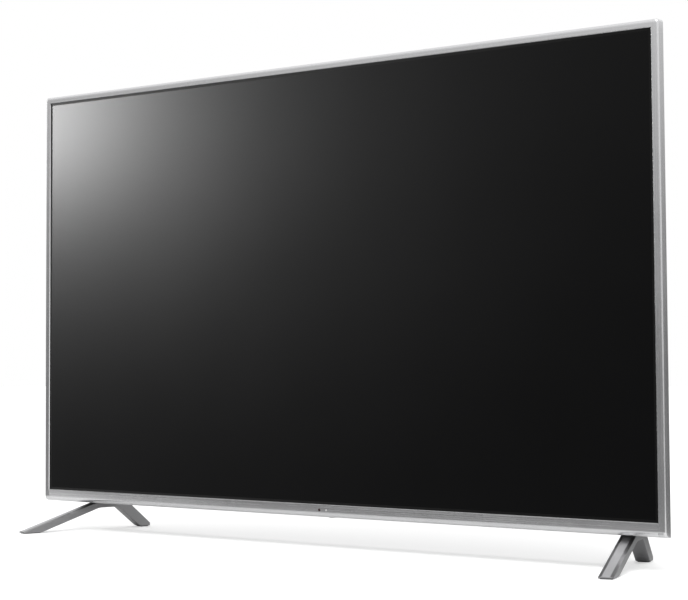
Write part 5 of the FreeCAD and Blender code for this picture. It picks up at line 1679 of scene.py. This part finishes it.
@dataclass(frozen=True)
class WireLead:
    """A bundle of insulated wires, twisted round each other, between two moulded plugs."""

    route: Sequence[Triple]
    radius: float
    wires: int
    plugs: Sequence[tuple]
    lay: float = 42.0
    step: float = 2.5
    rib: float = 0.35
    skins: tuple[Finish, ...] = SKINS

    def groups(self) -> list[tuple[Shape, Finish]]:
        """Shapes the wires and plugs.

        For n wires that touch their neighbours and the bundle's outline, the wire's radius is
        R * sin(180 / n) / (1 + sin(180 / n)), and its middle lies on a ring of what is left.

        Returns:
            Pairs of a shape and its finish.
        """
        line = soften_line(self.route)
        gone = np.cumsum(np.linalg.norm(np.diff(line, axis=0, prepend=line[:1]), axis=1))
        length = gone[-1]
        even = np.linspace(0, length, int(length / self.step))
        line = np.column_stack([np.interp(even, gone, line[:, i]) for i in range(3)])
        wedge = math.sin(math.pi / self.wires)
        thick = self.radius * wedge / (1 + wedge)
        ring, turns = self.radius - thick, length / self.lay
        made = [(wire(line, thick * 0.97, ring, i / self.wires, turns),
                 self.skins[i % len(self.skins)]) for i in range(self.wires)]
        for low, high in self.plugs:
            made += [(shape, NYLON) for shape in self.plug(np.array(low), np.array(high))]
        return made

    def plug(self, low: np.ndarray, high: np.ndarray) -> list[Shape]:
        """Shapes a plug with three ribs across its back.

        Args:
            low: Its lowest corner.
            high: Its highest corner.

        Returns:
            The plug and its ribs.
        """
        made = [box(low, high, 0.7)]
        long = 0 if high[0] - low[0] > high[2] - low[2] else 2
        start, end = low + 1.0, high - 1.0
        start[1], end[1] = high[1] - 0.2, high[1] + self.rib
        for share in (0.25, 0.5, 0.75):
            middle = low[long] + (high[long] - low[long]) * share
            start[long], end[long] = middle - self.rib, middle + self.rib
            made.append(brick(start, end))
        return made


@dataclass(frozen=True)
class FlatRibbon:
    """A flat cable whose conductors stand up as ridges under its film."""

    wide: float
    thick: float = 0.4
    pitch: float = 1.0
    groove: float = 0.12

    def sweep(self, stations: Sequence[Sequence]) -> Shape:
        """Carries the ridged section over stations.

        Args:
            stations: For each station x, y and z, each one number or one for every place across.

        Returns:
            Corners and faces.
        """
        places = len(self.across())
        ridge = np.where(np.arange(places) % 2, self.thick, self.thick - self.groove)
        rows = []
        for station in stations:
            points = np.column_stack([np.broadcast_to(part, places) for part in station])
            top = points + np.outer(ridge, (0, 1, 0))
            rows.append(np.concatenate((points, top[::-1])))
        return surface(np.array(rows))

    def across(self) -> np.ndarray:
        """Gives the places across the cable: one on each ridge and one in each groove."""
        return np.linspace(0, self.wide, int(self.wide / self.pitch) * 2 + 1)

    def straight(self, start: float, path: Sequence[Pair]) -> Shape:
        """Runs the cable along a path of y and z, its first edge at one x."""
        return self.sweep([(start + self.across(), y, z) for y, z in path])

    def folded(self, corner: Pair, high: float, end: float, depth: float) -> Shape:
        """Runs the cable down and then sideways, turning over a slanting fold.

        Args:
            corner: The place across and up where its outer edge starts to turn.
            high: The height of its upper end.
            end: The place across of its other end.
            depth: The place of its front.

        Returns:
            Corners and faces.
        """
        w = self.across()
        x, z = corner
        side = z - self.wide + w
        return self.sweep([(x + w, depth, high), (x + w, depth, z + w / 3),
                           (x + self.wide + w / 3, depth, side), (end, depth, side)])


@dataclass
class BoardParts:
    """Small parts soldered to the boards: chips with legs, and rows of tiny two-ended ones.

    Chips are x, z and half a width; fields are spans of x and z and a number of small parts;
    cans are x, z, radius and height; boxes are two corners in x and z and a height.
    """

    level: float = 10.3
    seed: int = 11
    leg: float = 1.0
    chips: tuple = ((-415.0, 405.0, 11.0), (-385.0, 345.0, 7.0), (-440.0, 325.0, 5.0),
                    (-20.0, 155.0, 8.0), (30.0, 155.0, 4.5), (-246.0, 400.0, 5.0))
    fields: tuple = (((-455, -335), (305, 330), 40), ((-370, -335), (370, 440), 40),
                     ((-52, 52), (138, 144), 26), ((-52, 52), (166, 172), 26),
                     ((300, 400), (420, 440), 24), ((130, 150), (250, 300), 14))
    cans: tuple = ((330.0, 330.0, 6.0, 14.0), (348.0, 330.0, 6.0, 14.0), (340.0, 350.0, 5.0, 11.0),
                   (-350.0, 350.0, 3.2, 6.0), (-342.0, 358.0, 3.2, 6.0))
    boxes: tuple = (((365, 310), (395, 322), 15.0), ((365, 330), (390, 345), 18.0),
                    ((310, 375), (345, 400), 16.0))
    tan: Finish = MouldedPlastic("part_tan", (0.42, 0.27, 0.1), 0.5, 1800.0)

    def build(self) -> None:
        """Makes one piece of them all."""
        dark, bright, pale = [], [], []
        for x, z, half in self.chips:
            dark.append(box((x - half, self.level + 0.1, z - half),
                            (x + half, self.level + 1.7, z + half), 0.3))
            bright += self.legs(x, z, half)
        for x, z in self.scatter():
            pale.append(self.slab(x - 0.6, x + 0.6, z - 0.4, z + 0.4, 0.6))
            bright += [self.slab(x + side, x + side + 0.3, z - 0.4, z + 0.4, 0.6)
                       for side in (-0.9, 0.6)]
        for x, z, radius, tall in self.cans:
            top = self.level + tall
            profile = [(0.001, self.level), (radius, self.level), (radius, self.level + 1),
                       (radius - 0.4, self.level + 1.4), (radius, self.level + 1.8),
                       (radius, top - 0.5), (radius - 0.5, top), (radius - 1.2, top - 0.2),
                       (0.001, top - 0.2)]
            dark.append(lathe(profile, (x, 0, z), "Y", 24))
        for (x0, z0), (x1, z1), tall in self.boxes:
            pale.append(box((x0, self.level, z0), (x1, self.level + tall, z1), 1.0))
        groups = [(merge(dark), BLACK), (merge(bright), TIN), (merge(pale), self.tan)]
        replace(painted("board_parts", groups), "socket_black")

    def scatter(self) -> list[Pair]:
        """Draws the places of the small parts, and keeps those where nothing is near.

        Returns:
            Places across and up.
        """
        draw = np.random.default_rng(self.seed)
        taken = [(x, z, half + 1.0) for x, z, half in self.chips]
        kept = []
        for across, upward, count in self.fields:
            for x, z in zip(draw.uniform(*across, count), draw.uniform(*upward, count)):
                if all(abs(x - a) >= 1.4 + gap or abs(z - b) >= 0.8 + gap for a, b, gap in taken):
                    taken.append((x, z, 1.2))
                    kept.append((x, z))
        return kept

    def slab(self, x0: float, x1: float, z0: float, z1: float, tall: float) -> Shape:
        """Gives a plain block that stands on the board."""
        return brick((x0, self.level, z0), (x1, self.level + tall, z1))

    def legs(self, x: float, z: float, half: float) -> list[Shape]:
        """Gives a chip's legs, a millimetre apart on all four sides.

        Args:
            x: The chip's middle across.
            z: Its middle up.
            half: Half its width.

        Returns:
            The legs' shapes.
        """
        made = []
        for step in np.arange(-half + 1.0, half - 0.5, 1.0):
            for a, b in ((-half - self.leg, -half), (half, half + self.leg)):
                made.append(self.slab(x + a, x + b, z + step - 0.2, z + step + 0.2, 0.5))
                made.append(self.slab(x + step - 0.2, x + step + 0.2, z + a, z + b, 0.5))
        return made


@dataclass
class ControlKnob:
    """The thumb stick under the set: a ridged rim round a shallow dish, on a stem."""

    spot: Pair = (0.0, 20.0)
    ridges: int = 24
    depth: float = 0.035
    finish: Finish = MouldedPlastic("thumb_black", (0.02, 0.02, 0.02), 0.35, 1200.0)

    def build(self) -> None:
        """Turns the knob: radius = rim * (1 - depth * groove), a groove at every ridge's edge."""
        profile = [(0.001, 46.9), (2.5, 46.8), (4.6, 46.4), (5.8, 46.0), (6.6, 46.0), (7.2, 46.3),
                   (7.5, 46.9), (7.5, 50.2), (7.2, 50.9), (6.6, 51.0), (3.0, 51.0), (2.0, 52.0),
                   (2.0, 66.0), (1.6, 66.5), (0.001, 66.5)]
        count = self.ridges * 6
        groove = (np.arange(count) % 6 < 2).astype(float)[:, None]
        grip = np.array([5 <= row <= 8 for row in range(len(profile))], float)
        shape = lathe(profile, (*self.spot, 0), "Z", count, 1 - self.depth * groove * grip)
        replace(solid("thumb_stick", shape), "stick_plastic", "stick_knob", finish=self.finish,
                body="knob")


@dataclass
class Wiring:
    """The leads and the flat cables inside the set, on the routes that the part gives them."""

    power: WireLead = WireLead(
        ((-238, 13.8, 330), (-205, 13.8, 330), (-155, 5.6, 336), (-105, 5.6, 326), (-55, 5.6, 338),
         (-5, 5.6, 327), (45, 5.6, 335), (95, 13.8, 330), (128, 13.8, 330)), 2.5, 6,
        (((-246, 10.3, 323), (-238, 17.3, 337)), ((128, 10.3, 323), (136, 17.3, 337))))
    light: WireLead = WireLead(
        ((310, 13.8, 238), (312, 14.8, 218.3), (304, 6.5, 193.8), (308, 6.2, 170)), 2.0, 4,
        (((303, 10.3, 238), (317, 17.3, 246)), ((303, 2.7, 162), (317, 9.7, 170))))
    left: WireLead = WireLead(
        ((-320, 17.7, 110.6), (-318, 17.7, 134.7), (-326, 7.5, 170.4), (-314, 7.5, 202.3),
         (-316, 13.8, 213.8), (-315, 13.8, 238)), 1.5, 2, (((-322, 10.3, 238), (-308, 17.3, 246)),),
        skins=SKINS[:2])
    right: WireLead = WireLead(
        ((-238, 13.8, 245), (-213.5, 13.8, 246), (-180.9, 6.5, 225), (-127.8, 5.5, 220),
         (-74.8, 5.5, 225), (-21.8, 5.5, 219), (31.3, 5.5, 225), (84.3, 5.5, 220),
         (133.3, 5.5, 209), (161.8, 7.5, 177), (168, 13.7, 138.5), (170, 17.7, 110.6)), 1.5, 2,
        (((-246, 10.3, 238), (-238, 17.3, 252)),), skins=SKINS[:2])
    timing: FlatRibbon = FlatRibbon(40.0)
    timing_at: Pair = (-100.0, 60.0)
    timing_path: tuple[Pair, ...] = ((-17.7, 72.1), (-17.7, 78.03), (3.0, 101.85), (3.0, 112.0),
                                     (10.3, 116.0), (10.3, 126.0))
    display: FlatRibbon = FlatRibbon(14.0, pitch=0.5, groove=0.08)
    film: Finish = SilkyFilm("ribbon_film", (0.8, 0.8, 0.77), (900, 60, 900))

    def build(self) -> None:
        """Makes a piece of each."""
        for name, node, leads in (("power_wires", "power_harness", (self.power,)),
                                  ("light_wires", "light_harness", (self.light,)),
                                  ("speaker_wires", "speaker_leads", (self.left, self.right))):
            groups = [group for lead in leads for group in lead.groups()]
            replace(painted(name, groups), "lead_skin", node)
        timing = merge([self.timing.straight(x, self.timing_path) for x in self.timing_at])
        replace(solid("timing_flat_cables", timing), "ribbon_white", "timing_ribbon_cables",
                finish=self.film)
        display = self.display.folded(corner=(-300.0, 135.0), high=242.0, end=-103.0, depth=10.3)
        replace(solid("display_flat_cable", display), "ribbon_white", "display_ribbon_cable",
                finish=self.film)


def dress(finish: Finish, *nodes: str) -> None:
    """Gives frame nodes one procedural finish.

    Args:
        finish: The finish.
        nodes: The nodes' names.
    """
    for name in nodes:
        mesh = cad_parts[name].data
        mesh.materials.clear()
        mesh.materials.append(paint(finish))
    LOG.info("%s on %d nodes", finish.name, len(nodes))


def dress_frame() -> None:
    """Dresses every frame node that is shown as it is."""
    dress(MouldedPlastic("frame_black", (0.012, 0.012, 0.012), 0.55), "panel_frame", "stick_case")
    dress(MouldedPlastic("cover_black", (0.022, 0.022, 0.024), 0.5), "rear_terminal_plate",
          "side_terminal_plate")
    dress(SilkyFilm("optical_film", (0.88, 0.89, 0.9)), "brightness_film", "prism_sheet",
          "diffuser_sheet")
    dress(SilkyFilm("milk_plate", (0.9, 0.9, 0.9), (400, 400, 400)), "diffuser_plate")
    dress(MouldedPlastic("white_mirror", (0.9, 0.9, 0.9), 0.4, 500.0), "reflector_sheet",
          "plate_supports")
    dress(ZincSteel("zinc_steel"), "chassis_tray", "foot_bracket_left", "foot_bracket_right")
    dress(MouldedPlastic("white_board", (0.8, 0.8, 0.78), 0.35, 700.0), "light_bars")
    dress(ClearMoulding("clear_lens", (0.9, 0.92, 0.95)), "light_lenses")
    dress(CircuitBoard("green_board"), "main_board", "timing_board", "source_boards",
          "stick_board", "sensor_board")
    dress(CircuitBoard("tan_board", (0.3, 0.2, 0.08)), "power_board")
    dress(SilkyFilm("amber_film", (0.42, 0.2, 0.04), (1500, 1, 1)), "driver_films")
    dress(MouldedPlastic("capacitor_sleeve", (0.02, 0.025, 0.05), 0.3, 900.0), "power_capacitors")
    dress(WoundTape("coil_tape", (0.55, 0.42, 0.06)), "power_transformers")
    dress(BrushedMetal("sink_metal", (0.62, 0.63, 0.64), 0.4), "power_heatsinks",
          "processor_heatsink")
    dress(BrushedMetal("tin_plate", (0.7, 0.69, 0.67), 0.32, Run.ROUND), "tuner_can", "lan_socket",
          "hdmi_sockets", "usb_sockets")
    dress(MouldedPlastic("socket_black", (0.015, 0.015, 0.015), 0.45), "optical_socket",
          "mains_inlet")
    dress(MouldedPlastic("box_plastic", (0.03, 0.03, 0.03), 0.6), "speaker_box_left",
          "speaker_box_right")
    dress(MouldedPlastic("basket_paint", (0.02, 0.02, 0.02), 0.35, 600.0), "speaker_baskets")
    dress(MouldedPlastic("magnet_black", (0.05, 0.05, 0.05), 0.6, 800.0), "speaker_magnets")
    dress(SoftRubber("cone_paper", (0.05, 0.05, 0.052)), "speaker_cone_left", "speaker_cone_right")
    dress(MouldedPlastic("stick_plastic", (0.02, 0.02, 0.02), 0.4), "stick_gimbal", "stick_hub")


def main() -> None:
    """Builds the television's looks, piece by piece."""
    MADE.clear()
    studio = Studio()
    studio.build()
    dress_frame()
    size = FrontSizes()
    BezelSurround(size).build()
    LowerBar(size).build()
    studio.shade_glow(DisplayFace(size).build())
    feet = [BarFoot(side) for side in Side]
    for part in (*feet, FootFittings(feet), RearHousing(), DustMesh(), Sockets(), ControlKnob(),
                 Wiring(), BoardParts()):
        part.build()


if __name__ == "__main__":
    logging.basicConfig(level=logging.INFO, format="%(name)s: %(message)s")
    main()
